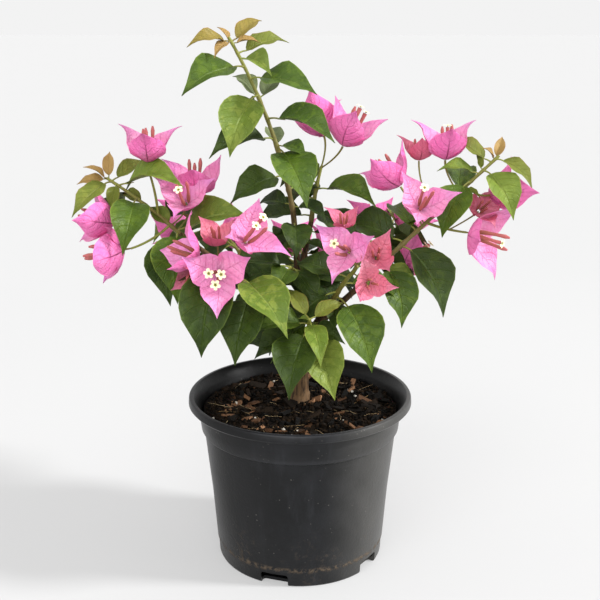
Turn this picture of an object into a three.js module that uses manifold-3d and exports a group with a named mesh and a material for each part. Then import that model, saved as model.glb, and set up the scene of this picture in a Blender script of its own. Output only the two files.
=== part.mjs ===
// A flowering bougainvillea bush in its black nursery pot, in millimetres.
// +Z is up, and the origin is the centre of the pot's flat underside.
import * as THREE from 'three';
import { mergeVertices } from 'three/addons/utils/BufferGeometryUtils.js';
import Module from 'manifold-3d';

const wasm = await Module();
wasm.setup();

const clear = 0.3;               // gap between neighbouring solids
const up = new THREE.Vector3(0, 0, 1);
const goldenAngle = 137.5;
const tipReach = 0.97;           // how far up its shoot the last leaf stands
const fewRingsBelow = 43;        // a leaf shorter than this has fewer faces

// ---- pot and soil ----
const pot = {
  height: 130, rimRadius: 85, lipDepth: 7, wall: 1.8, floor: 2.5, sides: 36,
  footRadius: 64, footRound: 2, footDraft: 0.6, ledgeHeight: 13, ledge: 0.7, ledgeRise: 1,
  shoulderHeight: 104, shoulderInner: 73.4, shoulderOuter: 75.7, shoulderStart: 1.5,
  shoulderEnd: 1, neckRadius: 77.7,
};
// The lip's section: its edges' radii inside the rim's, and their depths under the top.
const lip = { draft: 0.6, crown: 3, inner: 5.2, underside: 1.5, outerDrop: 1.4, innerDrop: 0.8 };
const notch = { count: 5, firstHeading: -107.5, width: 21, height: 9.5, depth: 7 };
const soil = {
  top: 118, crumbs: 1.2, footRoom: 0.2, shoulderDrop: 3.2, edgeRoom: 0.9,
  domeRadius: 52, domeDrop: 0.4, flatRadius: 30,
};

// ---- limbs ----
// heading is 0 to the right (+X) and 90 to the back (+Y), tilt is above the level, in degrees.
const trunk = {
  foot: [0, 10], heading: 205, tilt: 88, length: 62, bow: 1.5, radii: [6.2, 5.0],
  flare: 2.4, flareFade: 9, sides: 8, steps: 7,
};
const boughFaces = { sides: 6, steps: 4 };
// at is the height on the trunk that a bough leaves from, as a share of its length.
const boughs = {
  leader: { at: 1, heading: -121, tilt: 86, length: 89, bow: 3, radii: [3.1, 2.0] },
  left: { at: 0.9, heading: -165, tilt: 43, length: 121, bow: 2, radii: [2.9, 1.6] },
  right: { at: 0.85, heading: -11, tilt: 44, length: 79, bow: -2, radii: [3.0, 1.9] },
  front_left: { at: 0.75, heading: -121, tilt: 43, length: 83, bow: 3, radii: [2.9, 1.9] },
  front_right: { at: 0.7, heading: -55, tilt: 49, length: 67, bow: -3, radii: [2.8, 1.8] },
  upper: { at: 0.95, heading: 54, tilt: 78, length: 82, bow: 4, radii: [2.9, 1.9] },
  low_front: { at: 0.55, heading: -84, tilt: 36, length: 47, bow: -2, radii: [2.3, 1.5] },
  back_left: { at: 0.8, heading: 137, tilt: 42, length: 72, bow: 3, radii: [2.8, 1.8] },
  back_right: { at: 0.65, heading: 41, tilt: 44, length: 78, bow: 3, radii: [2.8, 1.8] },
  back_low: { at: 0.5, heading: 88, tilt: 47, length: 64, bow: -3, radii: [2.6, 1.7] },
};

// ---- sprays of leaves and blossom ----
// A leaf row is: place on its shoot, heading, tilt, length, and stalk where it is a long one.
// A bloom row is: place on its shoot, heading, tilt and length of its stalk,
// the heading and tilt that it faces, its turn about that axis, its bracts' length, and how much
// wider than usual they stand open, in degrees.
const sprays = {
  leader: {
    faces: -75,
    shoots: [{
      heading: 183, tilt: 70, length: 130, bow: 5.5, radii: [1.8, 1.0],
      leaves: [
        [1, -150, -4, 28], [1, -125, -30, 18], [1, 170, 50, 12], [1, 42, 32, 27], [0.99, 5, 5, 16],
        [0.93, 28, 12, 35], [0.9, -45, -17, 27], [0.85, -143, -18, 45], [0.78, -23, -10, 43],
        [0.67, 150, 38, 22], [0.66, 40, 42, 22], [0.68, -117, -49, 47], [0.64, 125, -40, 38],
        [0.54, -26, -15, 46], [0.42, -151, -9, 43], [0.37, 104, 32, 22], [0.38, -38, -14, 24],
        [0.36, -64, -37, 50], [0.34, 85, -40, 42], [0.2, -148, -20, 40], [0.12, 70, -20, 38],
        [0.03, 150, -5, 26], [0.02, -20, -20, 24],
      ],
      blooms: [],
    }],
  },
  left: {
    faces: -85,
    shoots: [{
      heading: 174, tilt: 37, length: 64, bow: 1.5, radii: [1.5, 0.9],
      leaves: [
        [1, 95, 62, 19], [1, -150, 35, 17], [1, -165, -6, 19], [0.96, 46, 23, 29],
        [0.95, -132, -31, 35], [0.9, -88, -51, 21], [0.61, -98, -42, 42], [0.87, -22, 6, 43],
        [0.5, 143, 14, 22], [0.1, 152, 35, 20], [0.02, -86, -49, 50], [0, -97, -60, 48, 10],
        [0.03, -11, 15, 46], [0.75, 110, -42, 38], [0.2, 70, 5, 38],
      ],
      blooms: [
        [0.5, -150, -25, 26, 180, 15, 0, 34, 6], [0.03, 51, 50, 30, -60, 85, -90, 35, 4],
        [0.12, -25, 51, 21, -100, 50, -90, 27, 14],
      ],
    }, {
      at: 0.13, heading: -150, tilt: -25, length: 33, bow: -2, radii: [1.0, 0.8],
      leaves: [], blooms: [[1, 178, -10, 6, 185, -6, 0, 36, 20]],
    }, {
      at: 0.3, heading: 168, tilt: 80, length: 31, bow: 1, radii: [1.0, 0.8],
      leaves: [], blooms: [[1, 120, 80, 8, -90, 87, -90, 32]],
    }],
  },
  right: {
    faces: -85,
    shoots: [{
      heading: 5, tilt: 43, length: 122, bow: 0, radii: [1.8, 1.0],
      leaves: [
        [0.87, -167, 8, 27], [0.97, 160, 27, 31], [1, 60, 53, 17], [1, -153, 42, 12],
        [1, -34, -33, 30], [0.9, -53, -48, 38], [0.9, 150, 70, 12], [0.8, -137, -55, 41],
        [0.22, -20, -58, 56, 8], [0.06, -24, -47, 27], [0.06, -68, -54, 43, 12],
        [0.72, -40, -11, 14], [0.25, 151, 7, 45], [0.35, 110, 15, 40], [0.7, 80, 20, 36],
        [0.5, 115, -35, 38],
      ],
      blooms: [
        [0.4, 180, 60, 34, 160, 52, 0, 34], [0.5, 130, 66, 42, -90, 86, -90, 22],
        [0.7, 150, 64, 26, -90, 87, -90, 34], [0.42, -112, 44, 20, -80, 40, 125, 28, 12],
        [0.75, 2, -17, 20, 15, 12, 180, 33, 6],
      ],
    }, {
      at: 0.42, heading: -10, tilt: -12, length: 30, bow: -1, radii: [1.1, 0.8],
      leaves: [],
      blooms: [[1, -8, -10, 5, -38, -8, 170, 35, 14], [0.6, 17, 28, 26, -70, 35, -90, 22, 6]],
    }],
  },
  front_left: {
    faces: -85,
    shoots: [{
      heading: -149, tilt: 37, length: 39, bow: 1, radii: [1.8, 1.1],
      leaves: [
        [0.9, -108, -62, 56, 10], [0.4, -52, -28, 52], [0, -105, -50, 46, 16],
        [0.5, 120, -10, 36], [0.95, 160, -30, 34],
      ],
      blooms: [
        [0.8, -92, 5, 21, -92, 8, -90, 30, 16], [1, 180, 25, 12, -160, 25, 80, 29, 8],
        [0.55, -10, 70, 25, -50, 40, 65, 30, 12], [0.9, 100, 52, 17, -100, 65, -90, 21, 4],
        [1, 180, -15, 14, -110, -30, 90, 20, 8],
      ],
    }],
  },
  front_right: {
    faces: -85,
    shoots: [{
      heading: -55, tilt: 47, length: 38, bow: 1, radii: [1.8, 1.1],
      leaves: [
        [0.15, -165, -43, 42], [0.02, -58, -50, 50, 16], [0.6, 150, 10, 36], [0.4, 5, -15, 34],
      ],
      blooms: [
        [0.95, -125, 52, 17, -115, 22, 145, 26, 14], [1, 128, 60, 30, -90, 65, -90, 17, 6],
        [1, 37, 12, 18, -95, 35, -60, 22, 8], [0.8, -60, -8, 20, -80, 10, 110, 20, 12],
      ],
    }],
  },
  upper: {
    faces: -70,
    shoots: [{
      heading: 30, tilt: 78, length: 42, bow: 1, radii: [1.8, 1.1],
      leaves: [
        [0.6, -29, -9, 41, 10], [0.2, -43, -33, 41], [0.4, 110, -12, 42], [0.7, 120, 5, 34],
        [0.1, 165, -15, 40],
      ],
      blooms: [[1, -20, 45, 24, -10, 66, 180, 37, 2], [1, 70, 75, 24, 120, 55, 60, 36]],
    }],
  },
  centre: {
    faces: -80, on: 'leader', at: 0.45,
    shoots: [{
      heading: -100, tilt: 22, length: 31, bow: 0, radii: [1.5, 1.0],
      leaves: [
        [1, -158, 4, 42], [0.8, -50, -45, 30], [0.3, -15, -8, 42], [0.45, 190, -15, 42],
        [0.6, -30, -38, 40], [0.95, -110, -20, 30],
      ],
      blooms: [],
    }],
  },
  low_front: {
    faces: -90,
    shoots: [{
      heading: -85, tilt: 42, length: 36, bow: 0, radii: [1.5, 0.9],
      leaves: [
        [1, 126, 36, 26], [1, 30, 17, 25], [1, -130, 20, 10], [0.95, -77, -36, 34],
        [0.8, -160, 0, 33], [0.5, -105, -35, 51], [0.3, -63, -45, 46, 10], [0.4, -30, -6, 25],
        [0.35, -40, -40, 20], [0.2, 175, -10, 37], [0.3, -165, -22, 35],
      ],
      blooms: [],
    }],
  },
  back_left: { faces: 120, wild: { seed: 11, heading: 137, tilt: 40, length: 32 } },
  back_right: { faces: 60, wild: { seed: 23, heading: 41, tilt: 42, length: 34 } },
  back_low: { faces: 90, wild: { seed: 37, heading: 88, tilt: 30, length: 36 } },
};
// What a shoot that no row sets out grows by: its twigs, and the leaves and bloom on each.
const wildRule = {
  twigs: 3, firstTwig: 0.3, twigStep: 0.32, spread: 42, twigTilt: 22, twigLength: 30,
  leavesPerTwig: 3, leafTilt: -28, leafLength: 41, leafSpread: 75, leafTurns: 40, stemLeaf: 80,
  bloomAt: 0.9, bloomStalk: 16, bloomTilt: -28, bloomFaceTilt: 30, bloomTurn: 60, bract: 34,
  jitter: 14, leafJitter: 5, bractJitter: 3, twigJitter: 4, bow: 1,
  stemRadii: [1.7, 1.0], twigRadii: [1.1, 0.8],
};

// ---- leaves and blossom ----
const leaf = {
  width: 0.62, thickness: 1.0, fold: 0.16, arch: 0.07, rings: 3,
  stalk: 0.2, stalkRadius: 0.8, stalkLift: 12,
};
const leafLight = { tilt: 38, skyShare: 0.55 };
const bract = { width: 0.8, thickness: 0.9, fold: 0.12, arch: -0.12, rings: 2, splay: 38 };
const outline = { widest: 0.62, fullness: 0.9 };
const heart = {
  stalk: 0.8, stalkBend: 0.4, radii: [1.6, 2.4], back: 1.5, front: 2.5, rootOut: 1.2, sides: 4,
};
const stemFaces = { sides: 5, twigSides: 3, stepLength: 25 };

const finishes = {
  pot: { color: 0x303134, roughness: 0.55 },
  soil: { color: 0x2e2119, roughness: 0.95 },
  bark: { color: 0x6b5138, roughness: 0.85 },
  foliage: { color: 0x4c7a30, roughness: 0.5 },
  blossom: { color: 0xd76cae, roughness: 0.6 },
};

// A seeded source of numbers from 0 to 1.
function seededNumbers(seed) {
  let state = seed >>> 0;
  return () => {
    state = (state + 0x6D2B79F5) >>> 0;
    let mixed = Math.imul(state ^ (state >>> 15), state | 1);
    mixed ^= mixed + Math.imul(mixed ^ (mixed >>> 7), mixed | 61);
    return ((mixed ^ (mixed >>> 14)) >>> 0) / 4294967296;
  };
}

function direction(heading, tilt) {
  const turn = THREE.MathUtils.degToRad(heading);
  const rise = THREE.MathUtils.degToRad(tilt);
  return new THREE.Vector3(
    Math.cos(rise) * Math.cos(turn), Math.cos(rise) * Math.sin(turn), Math.sin(rise));
}

// The axis of a limb: an arc from its foot, bowed up across its own direction.
function limbAxis(foot, { heading, tilt, length, bow }) {
  const tip = foot.clone().addScaledVector(direction(heading, tilt), length);
  const middle = foot.clone().lerp(tip, 0.5);
  middle.addScaledVector(direction(heading, tilt + 90), 2 * bow);
  return new THREE.QuadraticBezierCurve3(foot, middle, tip);
}

// Two directions square to a line, the first of them level where the line isn't upright.
function acrossLine(line) {
  const reference = Math.abs(line.z) > 0.95 ? new THREE.Vector3(0, 1, 0) : up;
  const side = new THREE.Vector3().crossVectors(reference, line).normalize();
  return [side, new THREE.Vector3().crossVectors(line, side)];
}

function solidOf(geometry) {
  geometry.deleteAttribute('normal');
  geometry.deleteAttribute('uv');
  const merged = mergeVertices(geometry, 1e-5);
  return new wasm.Manifold(new wasm.Mesh({
    numProp: 3,
    vertProperties: new Float32Array(merged.attributes.position.array),
    triVerts: new Uint32Array(merged.index.array),
  }));
}

function moveVertices(geometry, place) {
  const spots = geometry.attributes.position;
  for (let i = 0; i < spots.count; i += 1) {
    const moved = place(new THREE.Vector3().fromBufferAttribute(spots, i));
    spots.setXYZ(i, moved.x, moved.y, moved.z);
  }
  return geometry;
}

// A round limb along an axis, whose radius is a function of the share of its length.
function tubeSolid(axis, radiusAt, sides, steps, grow) {
  const [side, over] = acrossLine(axis.getTangent(0.5));
  const shape = new THREE.CylinderGeometry(1, 1, 1, sides, steps);
  return solidOf(moveVertices(shape, ({ x, y, z }) => {
    const share = y + 0.5;
    const radius = radiusAt(share) + grow;
    return axis.getPoint(share)
      .addScaledVector(axis.getTangent(share), grow * Math.round(2 * y))
      .addScaledVector(side, z * radius)
      .addScaledVector(over, x * radius);
  }));
}

function taper([foot, tip]) {
  return (share) => foot + (tip - foot) * share;
}

// Half the width of an ovate, pointed blade, as a share of its greatest half width.
function bladeOutline(share) {
  return Math.sin(Math.PI * share ** outline.widest) ** outline.fullness;
}

// A blade from a round form with four sides: two edges, and a midrib above and below.
// Where it has a stalk, the first ring is the stalk's end and the blade starts there.
function bladeSolid(foot, along, face, size, grow) {
  const side = new THREE.Vector3().crossVectors(face, along).normalize();
  const over = new THREE.Vector3().crossVectors(along, side);
  const lead = size.node ? 1 : 0;
  const spans = size.rings + 1;
  const steps = spans + lead;
  return solidOf(moveVertices(new THREE.SphereGeometry(1, 4, steps), ({ x, y, z }) => {
    const step = Math.round((Math.acos(THREE.MathUtils.clamp(y, -1, 1)) / Math.PI) * steps);
    if (size.node && step === 0) {
      return size.node.clone().lerp(foot, -grow / foot.distanceTo(size.node));
    }
    const ring = Math.sin((Math.PI * step) / steps);
    const isPole = ring < 1e-6;
    const [across, above] = isPole ? [0, 0] : [x / ring, z / ring];
    const share = (step - lead) / spans;
    const onStalk = size.node && step === lead;
    const bladeHalf = (size.width * size.length / 2) * bladeOutline(share);
    const half = (onStalk ? size.stalkRadius : bladeHalf) + grow;
    const thick = (onStalk ? size.stalkRadius : size.thickness / 2) + grow;
    const height = above * thick + size.fold * Math.abs(across) * half
      + size.arch * size.length * 4 * share * (1 - share);
    // A grown tip runs on in line with the midrib, which slopes where the blade is arched.
    const beyond = isPole ? grow : 0;
    const slope = 4 * size.arch * (1 - 1 / spans);
    return foot.clone()
      .addScaledVector(along, size.length * share + beyond * Math.sign(share - 0.5))
      .addScaledVector(side, across * half)
      .addScaledVector(over, height - beyond * slope);
  }));
}

// A leaf turns its face up, and part way to the light side that its spray faces.
function leafFace(along, faces) {
  const face = direction(faces, leafLight.tilt).addScaledVector(up, leafLight.skyShare);
  return face.addScaledVector(along, -face.dot(along)).normalize();
}

function leafSolid(axis, row, faces, grow) {
  const [at, heading, tilt, length, stalk = leaf.stalk * length] = row;
  const node = axis.getPoint(at * tipReach);
  const along = direction(heading, tilt);
  const stalkWay = direction(heading, tilt / 2 + leaf.stalkLift);
  const foot = node.clone().addScaledVector(stalkWay, stalk);
  const rings = length > fewRingsBelow ? leaf.rings : leaf.rings - 1;
  return bladeSolid(foot, along, leafFace(along, faces), { ...leaf, length, rings, node }, grow);
}

// Three bracts in a cup, on the small heart that a stalk ends in.
function bloomSolids(axis, row, grow) {
  const [at, heading, tilt, stalk, faceHeading, faceTilt, turn, length, wider = 0] = row;
  const node = axis.getPoint(at * tipReach);
  const facing = direction(faceHeading, faceTilt);
  const centre = node.clone().addScaledVector(direction(heading, tilt), stalk);
  const ahead = (from, distance) => from.clone().addScaledVector(facing, distance);
  const bend = ahead(centre, -heart.stalkBend * stalk);
  const stem = new THREE.QuadraticBezierCurve3(node, bend, ahead(centre, -heart.back / 2));
  const core = new THREE.LineCurve3(ahead(centre, -heart.back), ahead(centre, heart.front));
  const solids = [
    tubeSolid(stem, () => heart.stalk, stemFaces.twigSides, 2, grow),
    tubeSolid(core, taper(heart.radii), heart.sides, 1, grow),
  ];
  const [side, over] = acrossLine(facing);
  for (const part of [0, 1, 2]) {
    const angle = THREE.MathUtils.degToRad(turn + part * 120);
    const outward = side.clone().multiplyScalar(Math.cos(angle));
    outward.addScaledVector(over, Math.sin(angle));
    const hinge = new THREE.Vector3().crossVectors(facing, outward);
    const splay = THREE.MathUtils.degToRad(bract.splay + wider);
    const along = facing.clone().applyAxisAngle(hinge, splay);
    const inward = new THREE.Vector3().crossVectors(along, hinge);
    const root = centre.clone().addScaledVector(outward, heart.rootOut);
    solids.push(bladeSolid(root, along, inward, { ...bract, length }, grow));
  }
  return solids;
}

// The shoots of a spray that only a seed sets out: a stem, and twigs turned to either side.
function wildShoots({ seed, heading, tilt, length }) {
  const next = seededNumbers(seed);
  const about = (value, spread) => value + (2 * next() - 1) * spread;
  const rule = wildRule;
  const stem = {
    heading, tilt, length, bow: rule.bow, radii: rule.stemRadii, leaves: [], blooms: [],
  };
  const shoots = [stem];
  for (let twig = 0; twig < rule.twigs; twig += 1) {
    const side = twig % 2 ? 1 : -1;
    const twigHeading = about(heading + side * rule.spread * (twig < 2 ? 1 : 0), rule.jitter);
    const twigTilt = about(rule.twigTilt, rule.jitter);
    const leaves = [];
    for (let k = 0; k < rule.leavesPerTwig; k += 1) {
      const at = (k + 1) / rule.leavesPerTwig;
      const spread = (k % 2 ? 1 : -1) * rule.leafSpread * (1.15 - at);
      const turn = spread + ((k * goldenAngle) % rule.leafTurns);
      leaves.push([at, about(twigHeading + turn, rule.jitter), about(rule.leafTilt, rule.jitter),
        about(rule.leafLength, rule.leafJitter)]);
    }
    const bloom = [
      rule.bloomAt, about(twigHeading, rule.jitter), about(rule.bloomTilt, rule.jitter),
      rule.bloomStalk, about(twigHeading, 2 * rule.jitter), about(rule.bloomFaceTilt, rule.jitter),
      about(0, rule.bloomTurn), about(rule.bract, rule.bractJitter),
    ];
    shoots.push({
      at: rule.firstTwig + twig * rule.twigStep, heading: twigHeading, tilt: twigTilt,
      length: about(rule.twigLength, rule.twigJitter), bow: rule.bow, radii: rule.twigRadii,
      leaves, blooms: [bloom],
    });
    stem.leaves.push([
      rule.firstTwig * (twig + 0.5), about(heading - side * rule.stemLeaf, rule.jitter),
      about(rule.leafTilt, rule.jitter), about(rule.leafLength, rule.leafJitter),
    ]);
  }
  return shoots;
}

// Every stem, twig, leaf and bloom of one spray, joined, from the foot that its stem stands on.
function spraySolid(foot, spray, grow) {
  const shoots = spray.shoots ?? wildShoots(spray.wild);
  const stem = limbAxis(foot, shoots[0]);
  const solids = [];
  for (const shoot of shoots) {
    const axis = shoot === shoots[0] ? stem : limbAxis(stem.getPoint(shoot.at), shoot);
    const sides = shoot === shoots[0] ? stemFaces.sides : stemFaces.twigSides;
    const steps = Math.ceil(shoot.length / stemFaces.stepLength) + 1;
    solids.push(tubeSolid(axis, taper(shoot.radii), sides, steps, grow));
    for (const row of shoot.leaves) solids.push(leafSolid(axis, row, spray.faces, grow));
    for (const row of shoot.blooms) solids.push(...bloomSolids(axis, row, grow));
  }
  return wasm.Manifold.union(solids);
}

// The largest piece of a solid, so that clipped-off scraps and sealed hollows are left out.
function largest(solid) {
  return solid.decompose().reduce((best, piece) => (piece.volume() > best.volume() ? piece : best));
}

function latheSolid(points) {
  const profile = points.map(([radius, height]) => new THREE.Vector2(radius, height));
  return solidOf(new THREE.LatheGeometry(profile, pot.sides).rotateX(Math.PI / 2));
}

// Outer radius of the pot's wall between its ledge and its shoulder.
function wallRadius(height) {
  const share = (height - pot.ledgeHeight) / (pot.shoulderHeight - pot.ledgeHeight);
  return THREE.MathUtils.lerp(pot.footRadius + pot.ledge + pot.footDraft, pot.shoulderInner, share);
}

function potSolid() {
  const { height, rimRadius, lipDepth, wall, floor } = pot;
  const neck = height - lipDepth;
  const body = latheSolid([
    [0, 0], [pot.footRadius - pot.footRound, 0], [pot.footRadius, pot.footRound],
    [pot.footRadius + pot.footDraft, pot.ledgeHeight],
    [wallRadius(pot.ledgeHeight), pot.ledgeHeight + pot.ledgeRise],
    [pot.shoulderInner, pot.shoulderHeight - pot.shoulderStart],
    [pot.shoulderOuter, pot.shoulderHeight + pot.shoulderEnd],
    [pot.neckRadius, neck], [rimRadius, neck + lip.underside],
    [rimRadius - lip.draft, height - lip.outerDrop], [rimRadius - lip.crown, height],
    [rimRadius - lip.inner, height - lip.innerDrop], [pot.neckRadius - wall, neck - wall],
    [pot.shoulderOuter - wall, pot.shoulderHeight],
    [pot.shoulderInner - wall, pot.shoulderHeight - 2 * pot.shoulderStart],
    [pot.footRadius - wall, floor], [0, floor],
  ]);
  let cut = body;
  for (let k = 0; k < notch.count; k += 1) {
    const slot = new THREE.BoxGeometry(2 * notch.depth, notch.width, 2 * notch.height)
      .translate(pot.footRadius, 0, 0)
      .rotateZ(THREE.MathUtils.degToRad(notch.firstHeading + (k * 360) / notch.count));
    cut = cut.subtract(solidOf(slot));
  }
  return cut;
}

function soilSolid() {
  const inside = pot.wall + clear;
  return latheSolid([
    [0, pot.floor + clear], [pot.footRadius - inside - soil.footRoom, pot.floor + clear],
    [pot.shoulderInner - inside, pot.shoulderHeight - soil.shoulderDrop],
    [pot.shoulderOuter - inside - soil.footRoom, pot.shoulderHeight + pot.shoulderEnd],
    [pot.neckRadius - inside - soil.edgeRoom, soil.top - soil.crumbs],
    [soil.domeRadius, soil.top - soil.domeDrop], [soil.flatRadius, soil.top], [0, soil.top],
  ]);
}

// The trunk's radius, wide where its roots spread at the soil.
function trunkRadius(share) {
  return taper(trunk.radii)(share) + trunk.flare * Math.exp(-trunk.flareFade * share);
}

const bush = new THREE.Group();
let taken = null;                // all solids so far, each grown by the clear gap

function addNode(name, solid, finish) {
  const mesh = solid.getMesh();
  const geometry = new THREE.BufferGeometry();
  geometry.setAttribute('position', new THREE.BufferAttribute(mesh.vertProperties, 3));
  geometry.setIndex(new THREE.BufferAttribute(mesh.triVerts, 1));
  const material = new THREE.MeshStandardMaterial({ ...finish, metalness: 0 });
  const node = new THREE.Mesh(geometry, material);
  node.name = name;
  bush.add(node);
}

// A solid is cut back from all that stands already, and then keeps its own space.
function addPlantNode(name, make, finish) {
  const solid = taken ? largest(make(0).subtract(taken)) : make(0);
  taken = taken ? taken.add(make(clear)) : make(clear);
  addNode(name, solid, finish);
}

addNode('pot', potSolid(), finishes.pot);
addNode('soil', soilSolid(), finishes.soil);

const trunkAxis = limbAxis(new THREE.Vector3(...trunk.foot, soil.top + clear), trunk);
addPlantNode(
  'trunk', (grow) => tubeSolid(trunkAxis, trunkRadius, trunk.sides, trunk.steps, grow), finishes.bark);

const boughAxes = {};
for (const [name, bough] of Object.entries(boughs)) {
  const lift = bough.at === 1 ? 2 * clear : 0;
  const foot = trunkAxis.getPoint(bough.at)
    .addScaledVector(direction(bough.heading, bough.tilt), lift);
  const axis = limbAxis(foot, bough);
  const radiusAt = taper(bough.radii);
  boughAxes[name] = axis;
  addPlantNode(
    `bough_${name}`,
    (grow) => tubeSolid(axis, radiusAt, boughFaces.sides, boughFaces.steps, grow), finishes.bark);
}

for (const [name, spray] of Object.entries(sprays)) {
  const bough = boughAxes[spray.on ?? name];
  const foot = bough.getPoint(spray.at ?? 1)
    .addScaledVector(bough.getTangent(1), spray.at ? 0 : clear);
  const isLeafy = spray.shoots?.every((shoot) => shoot.blooms.length === 0);
  const finish = isLeafy ? finishes.foliage : finishes.blossom;
  addPlantNode(`spray_${name}`, (grow) => spraySolid(foot, spray, grow), finish);
}

export default bush;
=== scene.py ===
import bpy
import math
import random
from mathutils import Matrix, Vector, noise


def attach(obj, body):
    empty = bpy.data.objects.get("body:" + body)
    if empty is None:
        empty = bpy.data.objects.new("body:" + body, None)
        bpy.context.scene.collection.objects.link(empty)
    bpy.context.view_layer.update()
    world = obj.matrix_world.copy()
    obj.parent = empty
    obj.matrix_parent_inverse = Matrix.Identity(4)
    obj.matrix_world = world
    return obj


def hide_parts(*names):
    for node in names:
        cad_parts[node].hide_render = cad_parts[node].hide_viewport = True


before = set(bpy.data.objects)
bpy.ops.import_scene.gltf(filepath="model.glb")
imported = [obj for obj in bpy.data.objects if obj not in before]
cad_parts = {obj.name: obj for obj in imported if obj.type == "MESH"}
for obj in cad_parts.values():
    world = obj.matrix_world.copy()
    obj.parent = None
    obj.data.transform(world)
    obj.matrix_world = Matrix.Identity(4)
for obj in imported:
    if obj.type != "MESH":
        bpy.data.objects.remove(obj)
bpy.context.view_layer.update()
up = Vector((0, 0, 1))


def deselectAll():
    bpy.ops.object.select_all(action="DESELECT")


def makeActive(piece):
    deselectAll()
    piece.select_set(True)
    bpy.context.view_layer.objects.active = piece


deselectAll()

# ---- floor, light and camera ----
print("setting out the floor, the light and the camera")
studio = {
    "floorRadius": 60.0, "floorSides": 96, "floorShades": (0.335, 0.335 * 1.02), "floorGlow": 0.345,
    "farGlow": (0.87, 0.87, 0.87, 1), "poolAt": 0.3, "poolFade": (0.25, 1.1),
    "skyLow": 0.895, "skyHigh": 0.85, "skyFade": (0.10, 0.32),
    "lights": {
        "keyLight": ((0.83, -0.10, 0.53), 9.0, 3.6), "fillLight": ((-0.20, -0.80, 0.56), 60.0, 1.8),
        "edgeLight": ((0.90, -0.34, 0.10), 30.0, 0.5)},
    "cameraPlace": (0.0, -0.690, 0.398), "cameraDip": 15.8, "lens": 57.66, "sensor": 36.0,
    "clipStart": 0.01, "white": (1, 1, 1, 1),
}


# A far, broad lamp: softness is the angle that it fills, in degrees.
def addSoftLight(name, comesFrom, softness, power):
    turn = Vector(comesFrom).to_track_quat("Z", "Y").to_euler()
    bpy.ops.object.light_add(type="SUN", location=comesFrom, rotation=turn)
    light = bpy.context.object
    light.name = name
    light.data.angle = math.radians(softness)
    light.data.energy = power


# A pale room, brightest low down, where it meets the floor.
def setSky(world):
    world.use_nodes = True
    nodes, links = world.node_tree.nodes, world.node_tree.links
    way = nodes.new("ShaderNodeTexCoord")
    height = nodes.new("ShaderNodeSeparateXYZ")
    fade = nodes.new("ShaderNodeMapRange")
    fade.interpolation_type = "SMOOTHSTEP"
    for key, value in (
            ("From Min", studio["skyFade"][0]), ("From Max", studio["skyFade"][1]),
            ("To Min", studio["skyLow"]), ("To Max", studio["skyHigh"])):
        fade.inputs[key].default_value = value
    links.new(way.outputs["Generated"], height.inputs[0])
    links.new(height.outputs["Z"], fade.inputs["Value"])
    links.new(fade.outputs["Result"], nodes["Background"].inputs["Strength"])
    nodes["Background"].inputs["Color"].default_value = studio["white"]


def setStudio():
    scene = bpy.context.scene
    scene.view_settings.view_transform = "Standard"
    scene.world = bpy.data.worlds.new("softRoom")
    setSky(scene.world)
    for name, light in studio["lights"].items():
        addSoftLight(name, *light)
    tilt = math.radians(90 - studio["cameraDip"])
    bpy.ops.object.camera_add(location=studio["cameraPlace"], rotation=(tilt, 0, 0))
    scene.camera = bpy.context.object
    scene.camera.data.lens = studio["lens"]
    scene.camera.data.sensor_width = studio["sensor"]
    scene.camera.data.clip_start = studio["clipStart"]


setStudio()


# ---- shader maths ----
# A socket that takes part in arithmetic: every operator adds one Math node.
class Wire:
    def __init__(self, finish, socket):
        self.finish = finish
        self.socket = socket

    def combine(self, operation, first, second):
        return self.finish.node("ShaderNodeMath", {"operation": operation}, {0: first, 1: second})

    def __gt__(self, other):
        return self.combine("GREATER_THAN", self, other)

    def __abs__(self):
        return self.finish.node("ShaderNodeMath", {"operation": "ABSOLUTE"}, {0: self})

    def fraction(self):
        return self.finish.node("ShaderNodeMath", {"operation": "FRACT"}, {0: self})

    def ramp(self, low, high, atLow=0.0, atHigh=1.0):
        return self.finish.node(
            "ShaderNodeMapRange", {"interpolation_type": "SMOOTHSTEP"},
            {"Value": self, "From Min": low, "From Max": high, "To Min": atLow, "To Max": atHigh})


# An operator for a wire on either side of it, such as wire - 1 and 1 - wire.
def addOperator(name, operation):
    setattr(Wire, "__" + name + "__", lambda self, other: self.combine(operation, self, other))
    setattr(Wire, "__r" + name + "__", lambda self, other: self.combine(operation, other, self))


for name, operation in (("add", "ADD"), ("sub", "SUBTRACT"), ("mul", "MULTIPLY"), ("pow", "POWER")):
    addOperator(name, operation)


# A colour from its everyday 0 to 255 values.
def colour(red, green, blue):
    def linear(value):
        value /= 255
        return value / 12.92 if value <= 0.04045 else ((value + 0.055) / 1.055) ** 2.4
    return (linear(red), linear(green), linear(blue), 1.0)


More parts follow.
